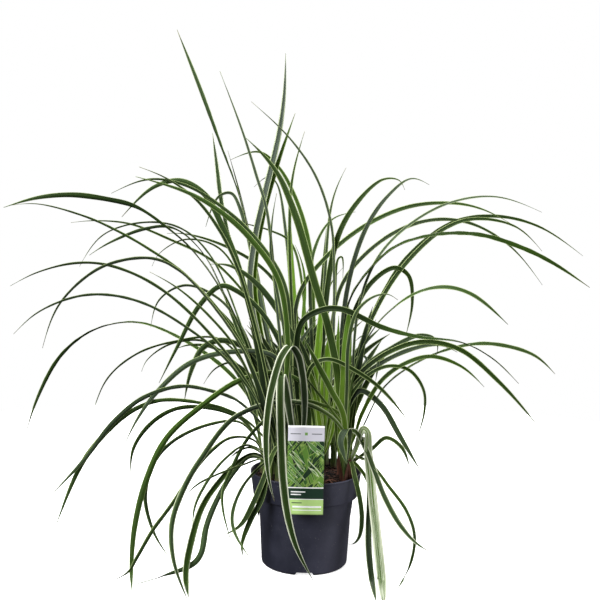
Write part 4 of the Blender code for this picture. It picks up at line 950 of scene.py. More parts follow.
# A row is the place to the right and the depth in millimetres, then the blades. The third number of a point,
# where it has one, is its own depth in millimetres.
FRONT_SHOOTS = [
    (-34, -44, [
        blade(7, 70, 80, (-3.6, 14.6, -47), (-4.4, 13.2, -51), (-5.0, 11.3, -57), (-6.4, 7.7, -65),
              (-8.1, 4.5, -69), (-10.1, 3.2, -73)),
        blade(7, 75, 80, (-3.9, 14.2, -47), (-4.8, 11.8, -55), (-5.5, 7.9, -61), (-6.8, 5.3, -63),
              (-7.9, 2.0, -64), (-7.7, 0.3, -64)),
        blade(6, 75, 80, (-4.2, 13.6, -46), (-5.3, 10.5, -57), (-5.9, 8.0, -58), (-5.8, 5.4, -58)),
        blade(5, 60, 60, (-3.9, 13.2), (-5.2, 12.5), (-7.9, 9.5), (-9.2, 5.8), (-8.9, 3.6), (-7.0, 0.4)),
    ]),
    (-24, -38.2, [
        blade(5, 75, 60, (-2.8, 15.5, -44), (-2.6, 17.0, -51), (-1.9, 19.2, -66), (-1.3, 20.6, -74)),
        blade(5, 75, 70, (-3.6, 13.8), (-4.2, 15.8), (-5.0, 18.4)),
        blade(5, 60, 60, (-4.2, 19.0), (-6.5, 29.0), (-9.0, 37.0), (-11.3, 41.6), (-14.2, 45.3),
              (-17.8, 47.8), (-21.3, 49.2)),
        blade(6.5, 70, 88, (-3.0, 19.0), (-2.6, 28.0), (-4.0, 35.8), (-7.8, 41.0), (-11.2, 43.9),
              (-15.1, 46.1), (-21.7, 48.0)),
    ]),
    (-44, -34.4, [
        blade(5, 50, 60, (-5.2, 13.7), (-7.5, 14.7), (-10.3, 12.8), (-12.5, 9.8), (-13.9, 6.8),
              (-14.2, 4.2)),
        blade(4, 50, 60, (-5.3, 13.4), (-6.9, 14.4), (-8.4, 14.0), (-9.6, 13.0)),
        blade(4, 50, 60, (-5.4, 12.9), (-8.2, 12.1), (-11.8, 10.6), (-13.6, 9.6), (-15.2, 8.1)),
        blade(5.5, 45, 35, (-4.8, 18.0), (-8.0, 26.5), (-13.4, 33.9), (-16.5, 36.7), (-19.3, 37.9),
              (-23.0, 37.7), (-26.8, 36.2), (-31.1, 32.0), (-33.2, 26.5)),
        blade(5.5, 45, 35, (-5.4, 18.0), (-10.0, 25.2), (-15.5, 29.6), (-20.5, 32.3), (-25.0, 33.3),
              (-29.0, 33.0), (-33.7, 31.0), (-36.8, 28.2)),
    ]),
    (46, -28.2, [
        blade(8, 85, 70, (4.6, 18.6), (2.9, 22.0), (1.1, 25.3), (-0.6, 28.4)),
        blade(5, 60, 25, (4.9, 16.5), (3.0, 19.4), (0.9, 22.0), (-1.2, 24.3), (-3.2, 25.5)),
        blade(8, 60, 75, (4.9, 15.8), (3.3, 18.3), (0.1, 20.0), (-4.0, 20.2), (-9.2, 18.1), (-13.2, 12.9),
              (-15.4, 8.9), (-16.8, 4.5), (-16.6, 0.0), (-14.8, -5.2)),
        blade(5, 62, 75, (5.0, 15.5), (4.2, 18.8), (2.0, 20.0), (-0.8, 20.5), (-3.6, 19.2), (-7.0, 16.1),
              (-9.4, 11.6), (-10.5, 8.0), (-9.2, 2.1)),
        blade(9, 85, 85, (5.2, 15.2), (5.3, 16.7), (4.8, 16.8, -62), (4.3, 15.6, -68), (4.8, 13.5, -70),
              (5.2, 12.5, -71)),
        blade(5, 75, 70, (4.9, 22.0), (5.0, 28.0), (5.9, 31.8), (7.7, 33.6), (9.6, 34.1), (11.0, 33.4)),
    ]),
    (-12, -25, [
        blade(9, 80, 88, (-0.6, 15.0, -42), (-0.3, 20.0, -74), (-0.7, 24.0, -103), (-1.3, 26.3, -120),
              (-2.3, 27.3, -131), (-3.2, 26.3, -134), (-4.0, 24.0, -135), (-4.8, 20.0, -136),
              (-5.1, 15.0, -135), (-4.7, 10.8, -133), (-3.9, 7.6, -129)),
        blade(10, 85, 90, (-1.6, 15.0, -45), (-2.3, 19.5, -82), (-2.9, 22.6, -102), (-3.3, 23.7, -110),
              (-3.4, 22.0, -114), (-3.2, 16.0, -117), (-2.8, 10.0, -117), (-2.0, 5.0, -114),
              (-0.9, 1.5, -109), (1.2, -2.5, -99)),
        blade(4, 75, 60, (-2.5, 20.0), (-4.0, 32.0), (-5.5, 44.2), (-6.8, 48.3), (-8.5, 53.4),
              (-11.5, 61.0)),
        blade(4, 75, 75, (-1.8, 20.0), (-3.2, 30.0), (-4.9, 39.1), (-4.8, 42.9), (-4.3, 46.3)),
    ]),
    (-50, -21.2, [
        blade(9, 60, 85, (-5.3, 13.1), (-6.6, 13.7), (-8.7, 12.5), (-11.1, 9.8), (-13.0, 6.8), (-14.3, 2.5),
              (-15.0, -2.0), (-14.6, -5.0)),
        blade(8, 60, 88, (-5.6, 12.9), (-7.0, 13.2), (-9.2, 11.0), (-11.0, 7.9), (-12.4, 4.3), (-13.1, 0.6),
              (-14.2, -0.8), (-17.5, -2.2), (-21.5, -3.5)),
        blade(6, 60, 60, (-6.4, 15.2), (-9.5, 15.6), (-12.5, 13.3), (-14.9, 10.0), (-17.0, 6.7),
              (-19.2, 3.6), (-21.2, 0.0), (-22.4, -2.0), (-26.4, -3.7)),
        blade(6, 50, 30, (-5.4, 18.0), (-8.5, 24.0), (-15.1, 31.5), (-20.0, 35.1), (-25.0, 37.0),
              (-29.0, 37.2), (-33.7, 36.0), (-37.2, 34.2)),
        blade(4, 60, 60, (-5.4, 18.0), (-9.0, 26.8), (-12.3, 30.8), (-16.2, 34.2), (-19.9, 36.3)),
    ]),
    (53, -17.4, [
        blade(8, 70, 70, (5.1, 14.5), (5.1, 16.6), (6.0, 16.8), (7.4, 14.7), (8.6, 11.8), (10.0, 8.4),
              (11.9, 5.1), (13.9, 2.8), (15.7, 1.6)),
        blade(12, 85, 88, (6.2, 14.5), (7.1, 17.1), (7.6, 16.7), (7.8, 14.0), (8.5, 8.1), (9.1, 3.7),
              (9.8, -1.5), (10.3, -6.0)),
        blade(8, 80, 85, (6.0, 14.2), (7.2, 15.8), (7.9, 13.5), (8.1, 8.1), (8.1, 2.5), (8.6, -2.0),
              (9.3, -5.2)),
        blade(6, 80, 85, (5.4, 12.7, -26), (5.7, 12.8, -36), (6.2, 10.9, -47), (6.8, 8.6, -50),
              (7.2, 5.6, -50), (6.9, 3.2, -47), (6.2, 2.35, -45), (5.5, 2.3, -44)),
        blade(4, 60, 60, (5.2, 13.9), (6.0, 13.8), (7.3, 13.0)),
        blade(5, 60, 60, (6.0, 12.7), (6.8, 12.0), (7.5, 11.0), (7.9, 9.8)),
        blade(5, 60, 60, (6.5, 13.5), (8.4, 12.4), (10.4, 9.9), (12.8, 6.7), (13.9, 3.5), (13.5, 0.0),
              (12.0, -3.3)),
    ]),
    (4, -13.6, [
        blade(8, 60, 92, (1.0, 15.0), (0.7, 19.0), (-0.6, 22.6), (-3.5, 23.9), (-8.3, 23.0), (-13.1, 19.7),
              (-17.6, 15.4), (-20.1, 10.0), (-21.5, 4.1), (-21.9, -1.0), (-21.8, -4.5)),
        blade(8, 80, 80, (0.3, 16.0), (0.2, 21.0), (-0.8, 25.6), (-3.2, 30.7), (-6.7, 35.2), (-9.8, 37.2),
              (-12.3, 37.4)),
        blade(6, 60, 60, (-0.3, 16.0), (-0.4, 21.0), (0.6, 25.0), (2.6, 25.8), (6.5, 24.1), (9.3, 22.1),
              (12.8, 18.1)),
        blade(8, 105, -45, (-0.7, 17.0), (-1.5, 25.0), (-0.9, 30.3), (1.4, 31.9), (4.0, 32.1), (9.2, 29.9),
              (13.7, 28.8), (19.3, 28.2), (23.0, 26.3), (26.4, 23.2)),
    ]),
]
print("shoots in front:", len(FRONT_SHOOTS))

# %% [markdown]
# The shoots in front bend over the pot's rim, and many of their blades hang low. The next ones stand in the
# middle of the pot. Their blades are the long arches that reach out to both sides.

# %% Rows in the middle
MIDDLE_SHOOTS = [
    (-40, -9.8, [
        blade(7, 45, 85, (-4.7, 16.0), (-8.6, 20.2), (-12.1, 21.5), (-15.9, 22.0), (-20.5, 20.5),
              (-24.2, 17.4), (-28.0, 12.4), (-32.1, 7.9)),
        blade(7.5, 45, 85, (-5.2, 15.5), (-8.8, 18.6), (-13.8, 20.0), (-18.8, 20.1), (-22.2, 18.6),
              (-25.8, 15.3), (-28.3, 11.8), (-31.5, 3.9)),
        blade(7, 75, 80, (-3.7, 17.0), (-3.2, 24.5), (-4.6, 26.2), (-9.6, 26.5), (-14.7, 25.0),
              (-18.9, 21.2), (-21.1, 18.1), (-22.8, 14.7)),
        blade(10, -25, 90, (-4.6, 18.0), (-7.0, 25.5), (-10.9, 34.1), (-14.8, 39.3), (-18.2, 42.1),
              (-21.7, 44.3), (-25.0, 45.1), (-29.5, 45.6), (-33.7, 45.2), (-38.0, 43.9)),
        blade(5, 50, 40, (-4.8, 18.0), (-8.6, 28.0), (-15.1, 35.7), (-20.0, 39.1), (-24.2, 41.4),
              (-28.0, 43.0), (-33.7, 44.4), (-37.0, 44.2)),
    ]),
    (44, -6, [
        blade(6, 60, 50, (5.8, 15.5), (6.9, 19.0), (9.2, 23.2), (12.0, 25.4), (15.3, 26.4), (19.0, 25.3),
              (22.1, 22.7)),
        blade(7, 60, 70, (3.7, 17.0), (3.9, 20.5), (6.4, 24.0), (10.0, 26.8), (14.1, 28.2), (18.8, 27.4),
              (24.1, 23.2), (29.0, 17.9)),
        blade(5, 60, 60, (4.4, 16.5), (5.2, 20.8), (7.4, 23.8), (10.1, 25.1), (12.7, 24.6), (14.5, 22.2),
              (14.7, 19.5), (13.8, 15.9)),
        blade(8, 60, 80, (4.7, 16.0), (5.2, 20.0), (6.6, 21.9), (9.2, 20.2), (11.8, 16.1), (14.3, 12.1)),
        blade(8, -40, 95, (5.1, 16.0), (5.6, 23.0), (7.4, 28.6), (9.6, 31.6), (13.5, 34.4), (17.0, 35.1),
              (20.3, 34.2), (24.8, 30.6)),
        blade(10, 85, 60, (4.0, 17.0), (3.8, 23.0), (2.5, 29.5), (0.5, 35.7), (-1.9, 43.5), (-4.5, 49.1),
              (-8.2, 53.0)),
    ]),
    (-22, -2.2, [
        blade(8, 60, 92, (-2.8, 17.0), (-4.6, 23.0), (-8.0, 27.0), (-11.0, 27.9), (-13.2, 26.9),
              (-14.6, 24.0), (-15.4, 20.2)),
        blade(7, 75, 70, (-2.6, 17.0), (-3.0, 26.0), (-5.9, 31.5), (-9.0, 34.1), (-11.0, 34.7),
              (-13.6, 32.3), (-16.4, 26.9), (-18.6, 22.4)),
        blade(4, 60, 50, (-3.0, 16.0), (-6.2, 22.5), (-9.4, 25.1), (-11.5, 24.4), (-13.0, 22.4)),
        blade(8, 75, 90, (-3.4, 18.0), (-6.3, 28.0), (-9.2, 38.1), (-11.1, 42.4), (-13.1, 45.9),
              (-16.1, 47.6), (-19.4, 46.8), (-23.4, 43.0)),
        blade(6, 60, 40, (-2.3, 17.0), (-2.2, 26.0), (-3.1, 35.0), (-6.8, 40.7), (-11.2, 44.6),
              (-15.7, 47.1), (-20.0, 47.7), (-24.7, 45.9)),
    ]),
    (54, 1.6, [
        blade(7.5, -15, 85, (6.3, 15.5), (7.4, 18.2), (9.7, 22.6), (14.7, 26.2), (20.3, 28.0), (24.0, 28.0),
              (28.2, 26.8), (30.9, 24.5)),
        blade(6, 50, 70, (6.6, 13.4), (8.3, 14.6), (10.0, 16.0), (11.9, 14.9), (13.0, 12.5)),
        blade(7, 60, 60, (5.4, 18.0), (7.0, 24.6), (10.8, 27.6), (13.7, 29.0), (15.5, 28.8), (16.1, 27.8),
              (16.0, 26.6)),
        blade(4, 60, 50, (5.6, 21.0), (6.1, 32.0), (8.1, 38.1), (11.4, 42.1), (16.7, 45.4), (22.6, 46.4),
              (28.5, 44.6)),
        blade(11, -15, 75, (4.9, 18.0), (4.3, 26.0), (4.9, 33.0), (7.3, 37.0), (10.7, 40.1), (15.9, 41.6),
              (21.1, 41.6), (26.3, 40.1), (30.0, 38.4), (34.8, 35.4)),
    ]),
    (-54, 5.4, [
        blade(7, 60, 60, (-6.2, 15.5), (-8.2, 18.0), (-12.7, 19.4), (-16.6, 19.1), (-19.6, 17.2),
              (-21.7, 14.1), (-22.1, 10.8)),
        blade(6, 60, 60, (-6.0, 15.0), (-8.4, 17.6), (-12.4, 17.2), (-16.8, 15.0), (-19.1, 12.3),
              (-20.2, 8.0), (-19.2, 3.6), (-17.4, 0.5)),
        blade(5, 45, 25, (-6.0, 17.0), (-8.0, 24.8), (-11.3, 28.1), (-16.9, 27.6), (-21.4, 26.0),
              (-25.0, 22.9), (-27.0, 18.0)),
        blade(4, 60, 50, (-6.0, 16.0), (-8.4, 23.0), (-12.5, 27.6), (-17.0, 27.4), (-20.0, 25.4),
              (-20.8, 23.8)),
        blade(6, 60, 60, (-6.0, 16.0), (-7.6, 22.4), (-11.0, 26.6), (-14.5, 27.3), (-16.6, 26.7)),
    ]),
    (20, 9.2, [
        blade(5, 50, 35, (2.4, 17.0), (3.0, 25.0), (3.0, 36.0), (2.5, 42.6), (0.6, 48.2), (-2.6, 52.8),
              (-7.6, 57.4)),
        blade(10, 85, 80, (1.2, 16.0), (0.9, 22.0), (1.3, 28.0), (1.5, 33.5)),
        blade(6, 80, 80, (3.3, 17.0), (3.6, 24.0), (3.7, 31.3)),
        blade(8, 85, 60, (1.9, 18.0), (1.8, 29.0), (3.2, 40.5), (5.4, 45.0), (8.7, 48.2), (10.7, 48.2),
              (11.5, 47.0)),
    ]),
    (-8, 13, [
        blade(9, 80, 85, (-2.2, 17.0), (-6.0, 27.5), (-7.4, 34.5), (-6.9, 40.6), (-5.8, 46.0), (-4.2, 53.2),
              (-3.6, 58.0), (-3.5, 63.3)),
        blade(8, 50, 95, (-1.9, 17.0), (-5.4, 27.0), (-6.8, 35.5), (-6.1, 42.6), (-4.5, 49.0),
              (-2.2, 56.1)),
        blade(5, 80, 70, (-1.0, 17.0), (-2.0, 30.0), (-2.6, 41.6), (-2.4, 48.0), (-1.0, 53.9)),
    ]),
    (46, 16.8, [
        blade(7, 60, 60, (5.0, 18.0), (6.4, 23.0), (11.0, 26.5), (16.1, 27.9), (18.6, 27.0)),
        blade(7, 70, 80, (4.5, 18.0), (5.1, 30.0), (7.6, 35.4), (10.5, 37.4), (12.2, 36.5), (12.8, 33.4),
              (12.1, 28.9)),
        blade(7, 70, 60, (4.1, 18.0), (4.6, 34.0), (6.7, 41.9), (9.4, 46.2), (12.2, 48.4), (14.5, 47.7)),
        blade(7, 60, 50, (4.2, 19.0), (6.0, 26.0), (8.6, 32.7), (11.6, 37.6), (16.3, 42.2), (20.1, 43.6),
              (25.2, 42.8), (28.7, 39.8)),
    ]),
]
print("shoots in the middle:", len(MIDDLE_SHOOTS))

# %% [markdown]
# Of the shoots at the back only the upper parts show between the others, so few of their blades are drawn.
# The last one has none: the rule that comes next makes all its blades.

# %% Rows at the back
BACK_SHOOTS = [
    (-44, 20.6, [
        blade(8, -50, 95, (-5.2, 17.0), (-9.0, 23.0), (-14.6, 27.3), (-20.9, 29.9), (-25.0, 29.6),
              (-28.3, 28.0), (-31.2, 25.2), (-33.7, 20.5), (-35.2, 16.0)),
        blade(5, 60, 50, (-5.1, 18.0), (-7.6, 28.0), (-11.0, 32.9), (-15.4, 34.7), (-18.6, 32.9),
              (-19.7, 29.4)),
        blade(5, 40, 30, (-4.9, 18.0), (-7.8, 28.0), (-12.5, 38.6), (-16.2, 41.8), (-20.5, 42.4),
              (-25.6, 40.8), (-28.6, 36.8)),
    ]),
    (16, 24.4, [
        blade(7, 75, 60, (0.4, 17.0), (-1.7, 27.0), (-1.2, 34.0), (2.2, 38.8), (7.0, 42.7), (12.2, 45.0),
              (17.4, 45.5), (20.9, 44.9), (24.6, 43.2)),
        blade(10, 88, 80, (0.2, 17.0), (-1.4, 28.0), (-2.4, 38.0), (-2.7, 45.0)),
        blade(6, 75, 40, (0.8, 17.0), (-0.7, 28.0), (-0.7, 36.5), (-1.9, 40.0)),
        blade(6, 75, 50, (1.4, 18.0), (0.3, 30.0), (0.4, 39.0), (2.5, 43.1), (5.5, 44.2)),
    ]),
    (-20, 28.2, [
        blade(10, -60, 100, (-3.2, 20.0), (-6.4, 34.0), (-8.7, 45.3), (-11.4, 52.3), (-14.2, 59.6),
              (-16.8, 65.9)),
        blade(12, -40, 95, (-3.8, 20.0), (-8.3, 35.0), (-10.9, 43.9), (-11.8, 50.0), (-12.3, 53.5)),
        blade(7, 70, 60, (-3.4, 20.0), (-6.0, 33.0), (-8.6, 43.9), (-9.9, 46.2), (-11.4, 45.8),
              (-13.0, 42.0)),
        blade(4, 70, 60, (-3.2, 20.0), (-6.2, 35.0), (-8.6, 45.3), (-10.4, 51.4)),
    ]),
    (36, 32, [
        blade(7, 60, 40, (3.2, 18.0), (2.7, 26.0), (4.1, 35.3), (8.8, 40.7), (14.0, 43.2), (19.2, 43.2),
              (24.5, 40.5), (28.9, 35.6)),
        blade(7, 60, 50, (3.6, 19.0), (6.2, 26.5), (8.9, 33.6), (12.1, 38.8), (17.5, 43.1), (22.7, 44.0),
              (28.0, 42.9), (33.8, 39.3)),
    ]),
    (-40, 35.8, [
        blade(8, -55, 95, (-4.7, 18.0), (-8.8, 29.0), (-13.4, 38.9), (-17.2, 41.8), (-20.5, 41.6),
              (-24.9, 39.8), (-27.4, 38.2)),
        blade(4, 60, 50, (-4.2, 20.0), (-7.4, 33.0), (-11.3, 39.4), (-15.5, 40.4), (-18.6, 38.7),
              (-19.6, 37.0)),
    ]),
    (7, 39.6, [
        blade(7, 80, 76, (0.8, 18.0), (0.6, 30.0), (-0.2, 40.3), (-2.1, 46.1), (-4.2, 49.6), (-6.5, 51.3),
              (-10.0, 50.3)),
        blade(6, 80, 60, (-0.2, 18.0), (-1.8, 29.0), (-3.0, 41.0), (-4.3, 47.5), (-5.3, 48.3),
              (-7.1, 47.0)),
        blade(4.5, 75, 60, (0.3, 18.0), (-0.3, 30.0), (-2.4, 40.2), (-5.0, 41.7), (-10.2, 42.8)),
        blade(5.5, 62, 60, (1.2, 18.0), (1.8, 34.0), (2.6, 45.4), (4.2, 49.6)),
    ]),
    (-20, 43.4, [
        blade(5, 60, 60, (-2.6, 20.0), (-5.5, 30.0), (-11.5, 37.4), (-17.7, 40.5), (-22.4, 42.2),
              (-26.5, 42.5), (-29.7, 42.2)),
        blade(6, 60, 70, (-1.6, 20.0), (-2.0, 31.5), (-5.4, 36.6), (-9.9, 39.4), (-14.9, 41.0),
              (-17.8, 41.1)),
    ]),
    (26, 47.2, [
        blade(6, 78, 80, (2.6, 19.0), (3.1, 32.0), (3.5, 38.4), (3.9, 38.6), (4.1, 36.0)),
        blade(4.5, 72, 70, (2.1, 19.0), (1.4, 31.0), (1.9, 42.1)),
        blade(4.5, 68, 60, (2.2, 19.0), (2.0, 31.0), (2.6, 35.1), (4.1, 37.3)),
    ]),
    (-4, 51, []),
]
SHOOTS = FRONT_SHOOTS + MIDDLE_SHOOTS + BACK_SHOOTS
print("shoots:", len(SHOOTS), "drawn blades:", sum(len(rows) for _, _, rows in SHOOTS))

# %% [markdown]
# The other blades of a shoot are shorter and fill its middle. Nobody could tell them apart, so they come
# from a rule with a fixed seed: a blade leans out, bends over further along, and has a length and a width
# drawn by chance. The first ones of each shoot are the same as in the solids, and some more are added that
# only show as depth between the others.

# %% Filling blades
SEED = 13
EXTRA_SEED = 77
BLADES_A_SHOOT = 6
FILL_STEPS = 12
FILL_POINTS = (2, 5, 8, 11)
FILL_BASE = 135.0
FILL_LEAN = (3.0, 25.0)
FILL_LENGTH = (130.0, 205.0)
FILL_BEND = (6.0, 42.0)
FILL_WIDTH = (7.0, 9.5)
FILL_TOP = 325.0
FRONT = 5.0


def fill_rows(random, x, depth, count, length_range, width_range):
    """Blades as headings that grow: lean·(0.35 + 0.65·share) + bend·share^2.4, summed up step by step."""
    rows = []
    for index in range(count):
        side = 1 if (index + (x > 0)) % 2 == 0 else -1
        if depth < FRONT:
            side = 1 if x > 0 else -1
        lean = math.radians(random.uniform(*FILL_LEAN)) * side
        bend = math.radians(random.uniform(*FILL_BEND)) * side
        length = random.uniform(*length_range)
        share = np.arange(1, FILL_STEPS + 1) / FILL_STEPS
        heading = lean * (0.35 + 0.65 * share) + bend * share**2.4
        right = x + np.cumsum(np.sin(heading)) * length / FILL_STEPS
        up = np.minimum(FILL_BASE + np.cumsum(np.cos(heading)) * length / FILL_STEPS, FILL_TOP)
        points = [(right[step] / 10, up[step] / 10) for step in FILL_POINTS]
        width = random.uniform(*width_range)
        rows.append(blade(width, random.uniform(55, 85), random.uniform(50, 85), *points))
    return rows


example = fill_rows(np.random.default_rng(1), 10, 20, 1, FILL_LENGTH, FILL_WIDTH)[0]
print("a filling blade is", round(example[0], 1), "mm wide")

# %% [markdown]
# ## From rows to lines in space
#
# A curve object with Bezier handles would be smooth too, but here the line has to be known as numbers. A
# smooth curve through a few points is made of cubic pieces. Where two pieces meet they share a slope, which
# is worked out from the neighbours, and the pieces' lengths follow the root of the distances, so that the
# curve doesn't loop where points are close. The curve is read at 160 even steps, all at once.

# %% Smooth curves
SAMPLES = 160


def smooth_run(points):
    """Cubic pieces between neighbours a and b, read at even steps.

    Each is (2t³−3t²+1)·a + (t³−2t²+t)·slope at a + (3t²−2t³)·b + (t³−t²)·slope at b, with t from 0 to 1.
    """
    points = np.asarray(points, float)
    steps = np.linalg.norm(np.diff(points, axis=0), axis=1) ** 0.5
    knots = np.concatenate([[0.0], np.cumsum(steps)])
    slopes = np.empty_like(points)
    slopes[1:-1] = (
        (points[1:-1] - points[:-2]) / steps[:-1, None] * steps[1:, None]
        + (points[2:] - points[1:-1]) / steps[1:, None] * steps[:-1, None]
    ) / (steps[:-1] + steps[1:])[:, None]
    slopes[0] = 1.5 * (points[1] - points[0]) / steps[0] - 0.5 * slopes[1]
    slopes[-1] = 1.5 * (points[-1] - points[-2]) / steps[-1] - 0.5 * slopes[-2]
    at = np.linspace(0, knots[-1], SAMPLES)
    cubic = np.clip(np.searchsorted(knots, at, side="right") - 1, 0, len(steps) - 1)
    length = steps[cubic][:, None]
    t = ((at - knots[cubic]) / steps[cubic])[:, None]
    return (
        (2 * t**3 - 3 * t**2 + 1) * points[cubic]
        + (t**3 - 2 * t**2 + t) * length * slopes[cubic]
        + (3 * t**2 - 2 * t**3) * points[cubic + 1]
        + (t**3 - t**2) * length * slopes[cubic + 1]
    )


print("a line of", len(smooth_run([(0, 0, 0), (1, 0, 0), (1, 1, 0)])), "samples")

# %% [markdown]
# A line on the front plane still has to get its depth. It could be drawn a second time, from the side, but
# no photograph shows that view. So each point is carried by a rule: the further a blade reaches from the
# soil, the more its shoot's depth opens out. The point moves along its line of sight, and from the camera
# the blade stays where it was drawn. Where that line would meet the floor first, the blade lies on the
# floor.

# %% Lines in space
SPREAD_HALF_WIDTH = 60.0
SPREAD_BASE = 140.0
SPREAD_LOW_FROM = 45.0
SPREAD_LOW_OVER = 25.0
SPREAD_NEAR = 12.0
SPREAD_FRONT = 4.0
SPREAD_BACK = 5.8
SPREAD_REACH = 150.0
DEPTH_STEP = 0.95
LEAST_STEP = 2.0
STEP_FADES = 70.0
FLOOR_CLEAR = 0.7
BELOW_EYE = 20.0


def carried(depth, x, z):
    """The depth of a point of the front plane, which opens out with its reach, the way from the soil.

    It is depth·(1 + most·(1 − e^(−reach / 150))), with another most in front than behind.
    """
    rise = z - SPREAD_BASE
    rise = np.where(rise < 0, rise * np.clip((np.abs(x) - SPREAD_LOW_FROM) / SPREAD_LOW_OVER, 0, 1), rise)
    reach = np.hypot(np.maximum(np.abs(x) - SPREAD_HALF_WIDTH, 0.0), rise) - SPREAD_NEAR
    most = SPREAD_BACK if depth > 0 else SPREAD_FRONT
    return depth * (1 + most * (1 - np.exp(-np.maximum(reach, 0.0) / SPREAD_REACH)))


def on_floor(z):
    """The depth at which a line of sight through this height of the front plane meets the floor.

    It is the eye's distance·((the eye's height − a clearance) / (the eye's height − this height) − 1).
    """
    drop = np.maximum(EYE[2] - z, BELOW_EYE)
    return np.where(z > EYE[2] - BELOW_EYE, np.inf, -EYE[1] * ((EYE[2] - FLOOR_CLEAR) / drop - 1))


def in_space(x, y, z):
    """A point of the front plane, carried along its line of sight: eye + (point − eye)·(1 − y / eye's y)."""
    share = 1 - y / EYE[1]
    return np.stack([EYE[0] + (x - EYE[0]) * share, y + 0 * x, EYE[2] + (z - EYE[2]) * share], axis=-1)


def blade_line(root, depth, offset, rows):
    """A blade's middle line in space: its drawn curve, carried to the shoot's depth or to its own."""
    share = 1 - root[1] / EYE[1]
    root_x, root_z = EYE[0] + (root[0] - EYE[0]) / share, EYE[2] + (root[2] - EYE[2]) / share
    own_depth = any(len(row) == 3 for row in rows)
    drawn = [(row[0] * 10, row[1] * 10, *row[2:]) for row in rows]
    drawn = [row if len(row) == 3 else (*row, float(carried(depth, *map(np.float64, row)))) for row in drawn]
    x, z, y = smooth_run([(root_x, root_z, root[1])] + drawn).T
    if not own_depth:
        y = carried(depth, x, z)
        fresh = LEAST_STEP * (1 - np.hypot(x - root_x, z - root_z) / STEP_FADES)
        y = y + offset * np.maximum(fresh, DEPTH_STEP * y / depth)
    return in_space(x, np.minimum(y, on_floor(z)), z)


example = round(float(carried(10.0, 300.0, 300.0)), 1)
print("300 mm to the right and up, a depth of 10 mm becomes", example, "mm")

# %% [markdown]
# ## The way a blade faces
#
# A flat blade needs one direction across it at every point of its line. On a curve object that would be the
# tilt, set by hand at each point. Here it starts from the depth, or from the right for a blade that leans
# forward, and turns towards the front by an angle that changes along the blade. Directions may jump or flip
# where the line bends back, so the flips are undone by a running product of signs, and the jumps are
# smoothed by a running mean. Where a blade comes down to the floor it lies flat.

# %% Sides of a blade
LIE_FLAT_BELOW = 14.0
MEAN_OVER = 13
MEAN_TIMES = 2


def running_mean(vectors, over):
    """The mean of each vector and its neighbours, with the ends repeated."""
    padded = np.pad(vectors, ((over // 2, over // 2), (0, 0)), mode="edge")
    sums = np.cumsum(np.pad(padded, ((1, 0), (0, 0))), axis=0)
    return (sums[over:] - sums[:-over]) / over


def across_along(line, turn_root, turn_tip, leans_forward):
    """cos(turn)·deep + sin(turn)·(way × deep), made level near the floor, without flips, and smoothed."""
    steps = np.linalg.norm(np.diff(line, axis=0), axis=1)
    along = np.concatenate([[0.0], np.cumsum(steps)]) / steps.sum()
    ways = unit(np.gradient(line, axis=0))
    turns = np.radians(turn_root + (turn_tip - turn_root) * along**2)[:, None]
    base = square_to(np.tile((1.0, 0.0, 0.0) if leans_forward else (0.0, 1.0, 0.0), (len(line), 1)), ways)
    first, second = (np.sin(turns), np.cos(turns)) if leans_forward else (np.cos(turns), np.sin(turns))
    wanted = first * base + second * np.cross(ways, base)
    level = unit(np.cross(UP, ways))
    level = level * np.where((level * wanted).sum(axis=1) < 0, -1.0, 1.0)[:, None]
    high = np.clip((line[:, 2] - 1.0) / LIE_FLAT_BELOW, 0, 1)[:, None]
    wanted = square_to(high * wanted + (1 - high) * level, ways)
    flips = np.where((wanted[1:] * wanted[:-1]).sum(axis=1) < 0, -1.0, 1.0)
    wanted = wanted * np.concatenate([[1.0], np.cumprod(flips)])[:, None]
    for _ in range(MEAN_TIMES):
        wanted = running_mean(wanted, MEAN_OVER)
    return square_to(wanted, ways)


print("running mean of 0 and 1:", running_mean(np.array([[0.0], [1.0]]), 3).ravel())

# %% [markdown]
# ## A blade's section
#
# Cut across, a sedge blade is a shallow M: it has a keel below its middle and two soft shoulders, it is
# folded like a V near the sheath and nearly flat further out, and it is thick at the keel and thin at its
# edges. A flat strip with a Solidify modifier would have none of that. So the section is a closed ring of
# points: seven on the upper face from edge to edge and seven back along the lower one. First the places of
# the rings are found. Even steps would waste them on the straight parts, so they stand closer where the
# blade bends or twists.

# %% Rings of a blade
RINGS = 72
BEND_WEIGHT = 0.8
TWIST_WEIGHT = 0.5


def resampled(line, across):
    """Reads line and sides where length, bend and twist together have grown by even steps."""
    steps = np.diff(line, axis=0)
    lengths = np.linalg.norm(steps, axis=1)
    ways = unit(steps)
    bends = np.concatenate([[0.0], np.arccos(np.clip((ways[1:] * ways[:-1]).sum(axis=1), -1, 1))])
    twists = np.arccos(np.clip((across[1:] * across[:-1]).sum(axis=1), -1, 1))
    growth = lengths / lengths.sum() + BEND_WEIGHT * bends / max(bends.sum(), 0.5)
    growth += TWIST_WEIGHT * twists / max(twists.sum(), 0.5)
    grown = np.concatenate([[0.0], np.cumsum(growth)])
    at = np.interp(np.linspace(0, grown[-1], RINGS), grown, np.arange(len(grown)))
    both = np.concatenate([line, across], axis=1)
    both = np.stack([np.interp(at, np.arange(len(line)), column) for column in both.T], axis=1)
    run = np.interp(at, np.arange(len(line)), np.concatenate([[0.0], np.cumsum(lengths)]))
    ways = unit(np.gradient(both[:, :3], axis=0))
    across = square_to(both[:, 3:], ways)
    face = np.cross(ways, across)
    turned_over = -1.0 if face[:, 2].sum() < 0 else 1.0
    return both[:, :3], run, across * turned_over, face * turned_over


print("rings on a blade:", RINGS)

# %% [markdown]
# Then the section is put on every ring. Its width follows the blade's own outline, its fold opens with the
# way from the sheath, and a slight wave runs along the edges, as on real leaves. No part of it goes below
# the floor.

